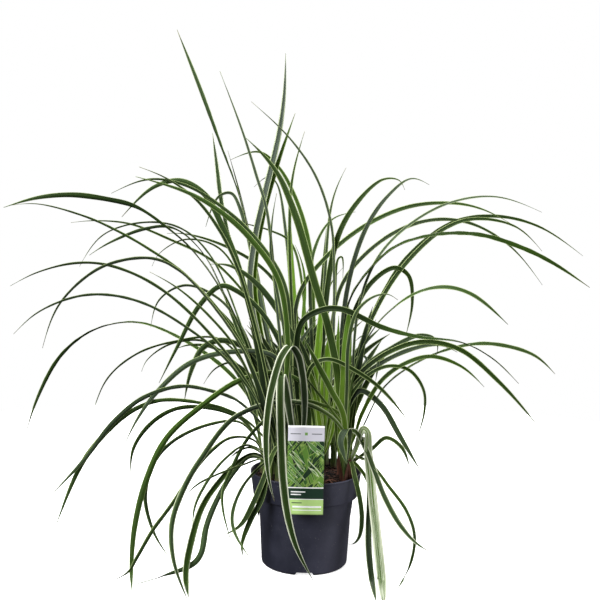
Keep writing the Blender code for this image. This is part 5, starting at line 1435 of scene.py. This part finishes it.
# %% Blade surface
UPPER = np.array((-1.0, -0.72, -0.38, 0.0, 0.38, 0.72, 1.0))
FOLD_ROOT = 34.0
FOLD_TIP = 15.0
FOLD_FADES = 0.22
SHOULDER = 0.10
THICK_MIDDLE = 0.62
THICK_EDGE = 0.16
WAVE_LENGTH = 34.0
WAVE_HEIGHT = 0.055
LEAST_HALF = 0.32
OVER_FLOOR = 0.15


def width_share(along):
    """The width along a blade: narrow at the sheath, widest near the middle and drawn out to the tip.

    It is 0.42 + 0.58·(along / 0.28)^0.9, at most 1, times 1 − ((along − 0.62) / 0.38)^2.6, at most 1.
    """
    rise = 0.42 + 0.58 * np.clip(along / 0.28, 0, 1) ** 0.9
    fall = 1 - np.clip((along - 0.62) / 0.38, 0, 1) ** 2.6
    return rise * fall


def blade_surface(line, across, width, wild):
    """A blade's rings, and the numbers that its finish reads.

    A point is half·u·cos(fold) across and half·(|u|·sin(fold) + shoulder·sin(|u|·π) + wave·u²) up, for a u
    from −1 to 1. The lower face is the upper one less the thickness.
    """
    line, run, across, face = resampled(line, across)
    along = run / run[-1]
    half = np.maximum(width * width_share(along) / 2, LEAST_HALF)[:, None]
    fold = np.radians(FOLD_TIP + (FOLD_ROOT - FOLD_TIP) * np.exp(-along / FOLD_FADES))
    fold = fold[:, None] * (0.8 + 0.4 * wild)
    size = np.abs(UPPER)
    phase = run[:, None] / WAVE_LENGTH * 2 * math.pi * (0.7 + wild) + 9 * wild + UPPER * 1.5
    wave = WAVE_HEIGHT * np.sin(phase)
    height = half * (size * np.sin(fold) + SHOULDER * np.sin(size * math.pi) + wave * size**2)
    height -= half * np.sin(fold) * 0.5
    thick = (THICK_EDGE + (THICK_MIDDLE - THICK_EDGE) * (1 - size) ** 1.5) * (1.0 - 0.55 * along[:, None])
    sideways = half * UPPER * np.cos(fold)
    upper = line[:, None] + across[:, None] * sideways[..., None] + face[:, None] * height[..., None]
    lower = upper - face[:, None] * thick[..., None]
    ring = np.concatenate([upper, lower[:, ::-1]], axis=1)
    low = ring[:, :, 2].min(axis=1)
    ring[:, :, 2] += np.maximum(OVER_FLOOR - low, 0)[:, None]
    u = np.concatenate([UPPER, UPPER[::-1]])
    marks = {
        "across": np.tile(u, (RINGS, 1)),
        "half": np.tile(half, (1, len(u))),
        "run": np.tile(run[:, None], (1, len(u))),
        "along": np.tile(along[:, None], (1, len(u))),
        "under": np.tile(np.arange(len(u)) >= len(UPPER), (RINGS, 1)).astype(float),
    }
    return ring, marks


print("points in a blade:", RINGS * 2 * len(UPPER) + 2)

# %% [markdown]
# ## The blade's finish
#
# A blade is dark green with a cream line along each edge, fine stripes along its length, a darker keel and
# a yellower foot. Some blades are fresh and bright, and some have a painted sheen on their ribs: a grey
# reflection painted into the colour. Deep inside the tuft all but the fresh ones are painted dark, as
# painted shade. A painted image would need an unwrapped strip for each blade.
# Instead each point carries its place across its blade (−1 to 1), the half width there and its run from the
# foot, and the finish reads these. The distance from the edge, (1 − |across|)·half, gives the cream line
# its real width in millimetres on wide and narrow blades alike. Noise that is stretched along the blade
# gives the stripes. The other numbers belong to the whole blade: how fresh, lush at its foot, how much
# painted sheen and how dim it is (partly its own darker tone, partly painted shade), how wide its cream line
# is, and one drawn by chance, called wild, that makes its stripes different from its neighbours'.

# %% What the finish reads
sedge = Finish("sedge blade", Specular_IOR_Level=0.11)
across, half, run = sedge.attribute("across"), sedge.attribute("half"), sedge.attribute("run")
along, under = sedge.attribute("along"), sedge.attribute("under")
fresh = sedge.attribute("fresh") * (1.0 - run.rise(210.0, 430.0) * 0.6)
wild, edge_width = sedge.attribute("wild"), sedge.attribute("edge")
sideways = across * half
stripe_place = sedge.vector(sideways * 1.9 + wild * 40.0, run * 0.012, wild * 17.0)
stripes = sedge.noise(stripe_place, 1.0, 3.0, 0.65)
fine_place = sedge.vector(sideways * 5.5, run * 0.03, wild * 31.0)
fine_stripes = sedge.noise(fine_place, 1.0, 2.0, 0.6)
patches = sedge.noise(sedge.vector(wild * 50.0, run * 0.018, sideways * 0.15), 1.0, 2.0)
from_edge = (1.0 - across.abs()) * half
ragged = (sedge.noise(sedge.vector(run * 0.05, wild * 60.0, across * 3.0), 1.0, 2.0) - 0.5) * 0.9
lush = sedge.attribute("lush")
foot = run.rise(lush * 75.0 + 90.0, lush * 35.0 + 10.0)
light = (fresh + (patches - 0.5) * 0.5 + foot * (0.30 + lush * 0.5)).least(1.0).most(0.0)
print("nodes so far:", len(sedge.tree.nodes))

# %% [markdown]
# The colours go on in layers, like paint. First come the greens, from dark to bright, with the dark keel
# and the yellow foot. Over them lie the darkening of dim blades, which is partly their own tone and partly
# painted shade, the painted shade inside the tuft and the painted sheen, and last the cream line with its
# finer inner line and the dry tip. One ramp could hold all these colours, but it reads a single number,
# and here each layer has its own.

# %% Blade colours
SHADE_GREEN = (0.0036, 0.0100, 0.0008)
DARK_GREEN = (0.0080, 0.0200, 0.0014)
GREEN = (0.0260, 0.0690, 0.0028)
FRESH_GREEN = (0.0850, 0.1900, 0.0060)
BRIGHT_GREEN = (0.1400, 0.2900, 0.0180)
YELLOW_GREEN = (0.1650, 0.2650, 0.0220)
PALE_LINE = (0.4500, 0.5600, 0.2300)
CREAM = (0.7000, 0.7400, 0.5700)
# The grey below serves the paler underside, a colour of its own, and a painted sheen: a grey reflection
# painted into the colour.
UNDERSIDE_AND_SHEEN_GREY = (0.1050, 0.1250, 0.1150)
DRY_TIP = (0.24, 0.18, 0.09)
# The painted shade inside the tuft grows from the first to the second limit, in metres.
SHADE_FROM_MIDDLE = (0.115, 0.055)
SHADE_DEPTH = (-0.10, -0.05)
SHADE_HEIGHT = (0.420, 0.300)

green = sedge.blend(stripes.rise(0.32, 0.68), DARK_GREEN, GREEN)
green = sedge.blend(light, green, FRESH_GREEN)
green = sedge.blend(fresh.rise(0.5, 1.0) * 0.7, green, BRIGHT_GREEN)
green = sedge.blend(fine_stripes.rise(0.52, 0.78) * 0.25, green, YELLOW_GREEN)
green = sedge.blend(across.abs().rise(0.16, 0.0) * 0.45, green, DARK_GREEN)
green = sedge.blend(foot * (0.20 + lush * 0.3), green, YELLOW_GREEN)
x, y, z = sedge.parts(sedge.place())
# Painted shade: blades deep inside the tuft are painted darker, where shade falls among the leaves.
inside = x.abs().rise(*SHADE_FROM_MIDDLE) * y.rise(*SHADE_DEPTH) * z.rise(*SHADE_HEIGHT)
inside = inside * (1.0 - fresh) * (1.0 - foot * lush)
# Dim blades are mixed towards dark green, partly their own tone and partly painted shade.
green = sedge.blend(sedge.attribute("dim") * (1.0 - foot * lush), green, DARK_GREEN)
green = sedge.blend(inside * (0.5 + wild * 0.5), green, SHADE_GREEN)
# The underside is a little greyer, its own colour. Then some blades get a painted sheen along their stripes,
# a grey reflection painted into the colour.
green = sedge.blend(under * 0.08, green, UNDERSIDE_AND_SHEEN_GREY)
green = sedge.blend(sedge.attribute("painted_sheen") * (stripes.rise(0.35, 0.65) * 0.6 + 0.3), green, UNDERSIDE_AND_SHEEN_GREY)
cream_width = edge_width.least(half * 0.30)
margin = (from_edge + ragged * cream_width * 0.6).rise(cream_width * 1.15, cream_width * 0.75)
inner = (from_edge - cream_width * 1.6 + ragged * 0.4).abs().rise(0.18, 0.04) * stripes.rise(0.5, 0.62) * 0.4
ribbon = edge_width.rise(1.8, 2.1) * stripes.rise(0.48, 0.56) * 0.70
broad = edge_width.rise(0.9, 1.3)
line_colour = sedge.blend(broad, PALE_LINE, CREAM)
line_fade = along.rise(0.30, 0.85) * (0.45 - broad * 0.35)
# The cream line is dimmed a little by the same painted shade inside the tuft.
line_share = (margin + inner).least(1.0) * (1.0 - line_fade) * (1.0 - inside * 0.35)
colour = sedge.blend(line_share.most(ribbon), green, line_colour)
dry = along.rise(0.965, 1.0) * wild.rise(0.35, 0.6)
colour = sedge.blend(dry * 0.4, colour, DRY_TIP)
blade_look = sedge.set(
    Base_Color=colour,
    Roughness=0.40 + fine_stripes * 0.16 + under * 0.08,
    Normal=sedge.bump(stripes * 0.6 + fine_stripes, 0.35, 0.0006),
)
print("blade finish:", len(sedge.tree.nodes), "nodes")

# %% [markdown]
# ## The foot of a shoot
#
# At its foot a shoot is a bundle of leaf bases, wrapped round each other in a short, ribbed sheath. A plain
# cone would look like a peg, so it is a tube whose radius follows the solid's cone and has a lobe for each
# leaf base. It is pale at the soil and turns green upwards. Some shoots at the right keep the broad brown
# scales of old leaves: each is a shell round part of the sheath, pointed at its top, with a little
# thickness.

# %% Sheaths and scales
SHEATH_SINK = 15.0
SHEATH = [(-SHEATH_SINK, 3.9), (0.0, 4.3), (20.0, 4.0), (31.0, 2.6)]
SHEATH_RINGS = 16
SHEATH_SIDES = 30
LOBES = 0.07
SCALE_RINGS = 12
SCALE_POINTS = 9
SCALE_SINK = 4.0
SCALE_HEIGHT = 34.0
SCALE_THICK = 0.5

sheath = Finish("leaf sheath", Specular_IOR_Level=0.45, Roughness=0.5)
x, y, z = sheath.parts(sheath.place())
ribs = sheath.noise(sheath.vector(x * 900.0, y * 900.0, z * 30.0), 1.0, 3.0, 0.6)
colour = sheath.blend(ribs.rise(0.35, 0.65), (0.024, 0.050, 0.006), (0.110, 0.165, 0.030))
colour = sheath.blend(z.rise(0.112, 0.122), (0.10, 0.08, 0.04), colour)
sheath_look = sheath.set(Base_Color=colour, Normal=sheath.bump(ribs, 0.5, 0.0006))

scale_skin = Finish("brown scale", Specular_IOR_Level=0.3, Roughness=0.72)
place = scale_skin.place()
x, y, z = scale_skin.parts(place)
ribs = scale_skin.noise(scale_skin.vector(x * 1100.0, y * 1100.0, z * 50.0), 1.0, 4.0, 0.65)
patches = scale_skin.noise(place, 150.0, 3.0)
colour = scale_skin.blend(ribs.rise(0.35, 0.65), (0.045, 0.017, 0.011), (0.165, 0.064, 0.038))
colour = scale_skin.blend(patches.rise(0.5, 0.75) * 0.6, colour, (0.150, 0.070, 0.042))
scale_look = scale_skin.set(Base_Color=colour, Normal=scale_skin.bump(ribs, 0.8, 0.0008))


def sheath_surface(x, depth, ground, number):
    """A tube of radius r(height)·(1 + 0.07·cos(3·angle + 0.03·height + number) + 0.02·cos(11·angle))."""
    rise = np.linspace(SHEATH[0][0], SHEATH[-1][0], SHEATH_RINGS)[:, None]
    angle = 2 * math.pi * np.arange(SHEATH_SIDES)[None] / SHEATH_SIDES
    radius = np.interp(rise, *np.array(SHEATH).T)
    radius = radius * (1 + LOBES * np.cos(3 * angle + 0.03 * rise + number) + 0.02 * np.cos(11 * angle))
    height = ground + rise + 0 * angle
    return np.stack([x + radius * np.cos(angle), depth + radius * np.sin(angle), height], axis=-1)


def scale_surface(x, depth, ground, turn):
    """A shell at the angle turn + u·(1.05·(1 − t^1.6) + 0.03), of radius 4.8 + 2.4t² + 0.35·waves."""
    t = np.linspace(0, 1, SCALE_RINGS)[:, None]
    u = np.linspace(-1, 1, SCALE_POINTS)[None]
    angle = turn + u * (1.05 * (1 - t**1.6) + 0.03)
    radius = 4.8 + 2.4 * t * t + 0.35 * np.sin(u * 7 + turn * 3 + t * 5)
    height = ground - SCALE_SINK + SCALE_HEIGHT * t - 2.5 * u * u * t
    way_x, way_y = np.cos(angle), np.sin(angle)
    outer = np.stack([x + radius * way_x, depth + radius * way_y, height], axis=-1)
    radius = radius - SCALE_THICK
    inner = np.stack([x + radius * way_x, depth + radius * way_y, height], axis=-1)
    return np.concatenate([outer, inner[:, ::-1]], axis=1)


print("sheath and scale finishes ready")

# %% [markdown]
# ## What sets single blades apart
#
# In a real tuft no two blades are alike. Most differences can be drawn by chance, but the few blades that
# stand out in the photograph are given one by one: the fresh, bright ones in the middle, the ones with a
# broad cream edge, the ones with a painted sheen, and the dark ones, whose darkness is partly painted shade.
# The tables name a blade by its shoot's number and its own place in the row. A few broad fresh blades and
# curled tips, which the solids leave out, are drawn here as rows too.

# %% Traits of the blades
FRESH_BLADES = {
    (2, 3): 0.4, (4, 0): 0.75, (4, 4): 0.2, (4, 5): 0.15, (5, 0): 0.15, (5, 1): 0.15, (7, 0): 0.05,
    (7, 1): 0.9, (8, 0): 0.4, (8, 1): 0.3, (8, 3): 0.15, (9, 2): 0.3, (10, 0): 0.25, (10, 4): 0.3,
    (10, 5): 0.55, (10, 6): 0.85, (12, 0): 0.3, (14, 1): 1.0, (14, 2): 0.8, (14, 9): 0.95, (15, 1): 0.75,
    (15, 2): 0.3, (17, 0): 0.05, (18, 1): 1.0, (18, 2): 0.7, (18, 9): 0.6, (22, 0): 0.5, (22, 2): 0.5,
    (24, 0): 0.6,
}
BROAD_EDGES = {
    (4, 0): 1.0, (4, 2): 1.1, (5, 0): 1.5, (5, 1): 1.7, (6, 0): 1.1, (7, 0): 1.2, (7, 1): 2.2, (14, 1): 0.9,
    (15, 0): 1.1, (19, 1): 1.2,
}
# Blades with a painted sheen: a grey reflection painted into their colour.
PAINTED_SHEEN_BLADES = {
    (4, 4): 0.5, (5, 0): 0.1, (5, 1): 0.1, (5, 2): 0.7, (5, 3): 0.5, (7, 0): 0.2, (9, 2): 0.5, (10, 3): 0.3,
    (12, 2): 0.2, (12, 3): 0.5, (14, 0): 0.5, (15, 0): 0.8, (16, 0): 0.4, (16, 2): 0.4, (16, 6): 0.7,
    (19, 2): 0.5, (20, 6): 0.9, (20, 7): 0.9, (22, 1): 0.5,
}
# A dim blade is mixed towards dark green: partly its own darker tone, partly painted shade.
DIM_BLADES = {
    (4, 4): 0.35, (4, 5): 0.5, (5, 0): 0.5, (5, 1): 0.4, (5, 3): 0.4, (7, 2): 0.4, (7, 6): 0.5, (8, 2): 0.6,
    (8, 3): 0.45, (9, 3): 0.2, (10, 0): 0.5, (10, 1): 0.5, (10, 2): 0.5, (10, 3): 0.5, (10, 4): 0.3,
    (10, 6): 0.0, (12, 0): 0.5, (12, 1): 0.45, (12, 2): 0.5, (12, 3): 0.4, (12, 4): 0.55, (14, 0): 0.4,
    (14, 1): 0.0, (14, 3): 0.6, (14, 9): 0.0, (15, 1): 0.0, (15, 2): 0.5, (16, 0): 0.7, (16, 1): 0.7,
    (16, 2): 0.7, (16, 3): 0.7, (16, 4): 0.5, (16, 6): 0.1, (18, 1): 0.0, (18, 9): 0.1, (20, 0): 0.75,
    (20, 1): 0.75, (20, 6): 0.0, (20, 7): 0.0, (22, 1): 0.6,
}
LUSH_SHOOTS = {4: 0.9, 7: 0.9, 8: 0.2, 10: 1.0, 12: 0.6, 14: 1.0, 16: 0.6, 18: 0.9, 20: 0.7, 24: 0.8}
LUSH_BLADES = {
    (4, 4): 0.1, (7, 0): 0.5, (7, 3): 0.1, (7, 5): 0.1, (7, 6): 0.1, (10, 0): 0.5, (10, 1): 0.5,
    (10, 2): 0.3, (10, 3): 0.2, (12, 0): 0.3, (12, 1): 0.1, (16, 0): 0.3,
}
MORE_BLADES = {
    10: [blade(13, 88, 85, (4.5, 17.0), (4.7, 24.0), (4.95, 32.5))],
    14: [blade(13, 88, 85, (1.9, 17.0), (2.2, 23.0), (2.7, 29.5))],
    16: [blade(6, 70, 85, (5.2, 18.0), (6.9, 23.5), (8.1, 25.7), (8.7, 25.7), (8.7, 24.9), (8.5, 23.2))],
    18: [blade(10, 80, 70, (0.6, 17.0), (-0.4, 22.5), (-0.9, 27.5))],
    20: [
        blade(6, 70, 85, (3.9, 18.0), (5.0, 24.5), (6.1, 27.0), (7.2, 28.1), (7.2, 28.7), (6.7, 28.8),
              (5.8, 28.1)),
        blade(6, 70, 85, (4.0, 18.0), (4.9, 22.6), (5.8, 24.4), (7.0, 25.2), (7.3, 25.9), (6.9, 26.3),
              (5.8, 25.2)),
    ],
}
EDGE_RANGE = (0.40, 0.90)
MOST_FRESH = 0.22
MOST_PAINTED_SHEEN = 0.7
MOST_DIM = 0.8
# A power above 1 makes most of the numbers small, and one below 1 makes them large, so that the filling
# blades, which fill the middle of their shoots, are dimmer than the drawn ones: this is partly painted shade.
DRAWN_DIM_POWER = 2
FILLING_DIM_POWER = 0.7
PAINTED_SHEEN_POWER = 3


def traits(number, index, drawn, chance):
    """The numbers of a whole blade. Each is drawn by chance, but a table's own number takes its place."""
    key = (number, index)
    dim_power = DRAWN_DIM_POWER if drawn else FILLING_DIM_POWER
    return {
        "wild": chance.uniform(0, 1),
        "fresh": FRESH_BLADES.get(key, chance.uniform(0, MOST_FRESH)),
        "edge": BROAD_EDGES.get(key, chance.uniform(*EDGE_RANGE)),
        "painted_sheen": PAINTED_SHEEN_BLADES.get(key, chance.uniform(0, MOST_PAINTED_SHEEN) ** PAINTED_SHEEN_POWER),
        "dim": DIM_BLADES.get(key, chance.uniform(0, MOST_DIM) ** dim_power),
        "lush": LUSH_BLADES.get(key, LUSH_SHOOTS.get(number, 0.0)),
    }


print("blades set by hand:", len({*FRESH_BLADES, *BROAD_EDGES, *PAINTED_SHEEN_BLADES, *DIM_BLADES, *LUSH_BLADES}))

# %% [markdown]
# ## One shoot
#
# A shoot's blades leave its sheath one above another, each a little to its own side, as they do on the real
# plant. They could all start at one point, but then they would cut through each other there. The rows of a
# shoot are the drawn ones and those that fill it. From them come the grids of its blades, its sheath and
# its scales, each with a number that says which finish it has.

# %% Parts of a shoot
BLADE, SHEATH_TUBE, SCALE = range(3)
ROOT_ASIDE = 1.6
ROOT_APART = 1.6
ROOT_BELOW = 12.0
ROOT_HIGHEST = SHEATH[-1][0] - 8.0
ROOT_STEP = 2.4
ROOT_STEPS = 6
ROOT_LOWEST = 3.0
FOREMOST = -36.0
MIDDLE = 20.0
EXTRA_BLADES = 3
EXTRA_LENGTH = (90.0, 160.0)
EXTRA_WIDTH = (8.0, 10.5)
EXTRA_WITHIN = 34.0
SCALED_FROM_X = 42
SCALES = 3


def shoot_rows(number, x, depth, drawn, extra):
    """All rows of a shoot, and how many of them its solid has too."""
    rows = list(drawn)
    filled = depth > FRONT or (depth > FOREMOST and abs(x) > MIDDLE)
    if filled:
        random = np.random.default_rng(SEED * 100 + number)
        rows += fill_rows(random, x, depth, max(0, BLADES_A_SHOOT - len(drawn)), FILL_LENGTH, FILL_WIDTH)
    same = len(rows)
    if filled and abs(x) < EXTRA_WITHIN:
        rows += fill_rows(extra, x, depth, EXTRA_BLADES, EXTRA_LENGTH, EXTRA_WIDTH)
    return rows + MORE_BLADES.get(number, []), same


def blade_root(x, depth, ground, index, offset, first_point):
    """Where a blade leaves the sheath: a little to the side that it goes to, and below its first point."""
    first_x, first_z = np.float64(first_point[0] * 10), np.float64(first_point[1] * 10)
    first_y = first_point[2] if len(first_point) == 3 else carried(depth, first_x, first_z)
    first = in_space(first_x, first_y, first_z)
    aside = np.clip(0.4 * (first[0] - x), -ROOT_ASIDE, ROOT_ASIDE)
    highest = ROOT_HIGHEST - ROOT_STEP * (index % ROOT_STEPS)
    rise = max(ROOT_LOWEST, min(first[2] - ROOT_BELOW - ground, highest))
    return x + aside, depth + ROOT_APART * offset, ground + rise


def shoot_parts(number, x, depth, drawn):
    """The grids of a shoot, the numbers that its blades' finish reads, and the finish of each grid."""
    extra = np.random.default_rng(EXTRA_SEED * 100 + number)
    ground = float(soil_height(x, depth))
    rows, same = shoot_rows(number, x, depth, drawn, extra)
    grids, marks = [], []
    for index, (width, turn_root, turn_tip, points) in enumerate(rows):
        offset = 2 * (index * 3 % same) / (same - 1) - 1
        root = blade_root(x, depth, ground, index, offset, points[0])
        line = blade_line(root, depth, offset, points)
        leans_forward = any(len(point) == 3 for point in points)
        own = traits(number, index, index < len(drawn), extra)
        across = across_along(line, turn_root, turn_tip, leans_forward)
        grid, mark = blade_surface(line, across, width, own["wild"])
        mark.update({key: np.full(grid.shape[:2], value) for key, value in own.items()})
        grids.append(grid)
        marks.append(mark)
    kinds = [BLADE] * len(grids) + [SHEATH_TUBE]
    grids.append(sheath_surface(x, depth, ground, number))
    if x > SCALED_FROM_X:
        turns = 2 * math.pi * np.arange(SCALES) / SCALES + 0.4 * number
        grids += [scale_surface(x, depth, ground, turn) for turn in turns]
        kinds += [SCALE] * SCALES
    return grids, marks, kinds


print("parts of the first shoot:", len(shoot_parts(1, *SHOOTS[0])[0]))

# %% [markdown]
# A shoot is one piece. Its parts could be separate objects that are joined afterwards, but it is simpler to
# put their arrays one after another and to add to each part's faces the number of points that come before
# it. Every part has its ends closed by fans. The sheath and the scales have none of the blades' numbers, so
# these are 0 there.

# %% Shoots
def joined(grids, marks, kinds):
    """The points, faces, finishes and attributes of all the parts, one part after another."""
    points, squares, fans, square_kinds, fan_kinds = [], [], [], [], []
    values = {key: [] for key in marks[0]}
    start = 0
    for index, (grid, kind) in enumerate(zip(grids, kinds)):
        grid_squares, grid_fans = tube_faces(*grid.shape[:2])
        points.append(with_ends(grid))
        squares.append(grid_squares + start)
        fans.append(grid_fans + start)
        square_kinds.append(np.full(len(grid_squares), kind))
        fan_kinds.append(np.full(len(grid_fans), kind))
        for key, group in values.items():
            mark = marks[index][key] if kind == BLADE else np.zeros(grid.shape[:2])
            group.append(np.concatenate([mark.ravel(), [mark[0].mean(), mark[-1].mean()]]))
        start += len(points[-1])
    faces = [np.concatenate(squares), np.concatenate(fans)]
    attributes = {key: np.concatenate(group) for key, group in values.items()}
    return np.concatenate(points), faces, np.concatenate(square_kinds + fan_kinds), attributes


faces_total = 0
for number, (x, depth, drawn) in enumerate(SHOOTS, 1):
    points, faces, finish_of, attributes = joined(*shoot_parts(number, x, depth, drawn))
    made = piece(
        f"leaves_{number:02d}", [f"shoot_{number:02d}"], points, faces,
        [blade_look, sheath_look, scale_look], attributes, finish_of,
    )
    faces_total += len(made.data.polygons)
print("shoots:", len(SHOOTS), "with", faces_total, "faces")

# %% [markdown]
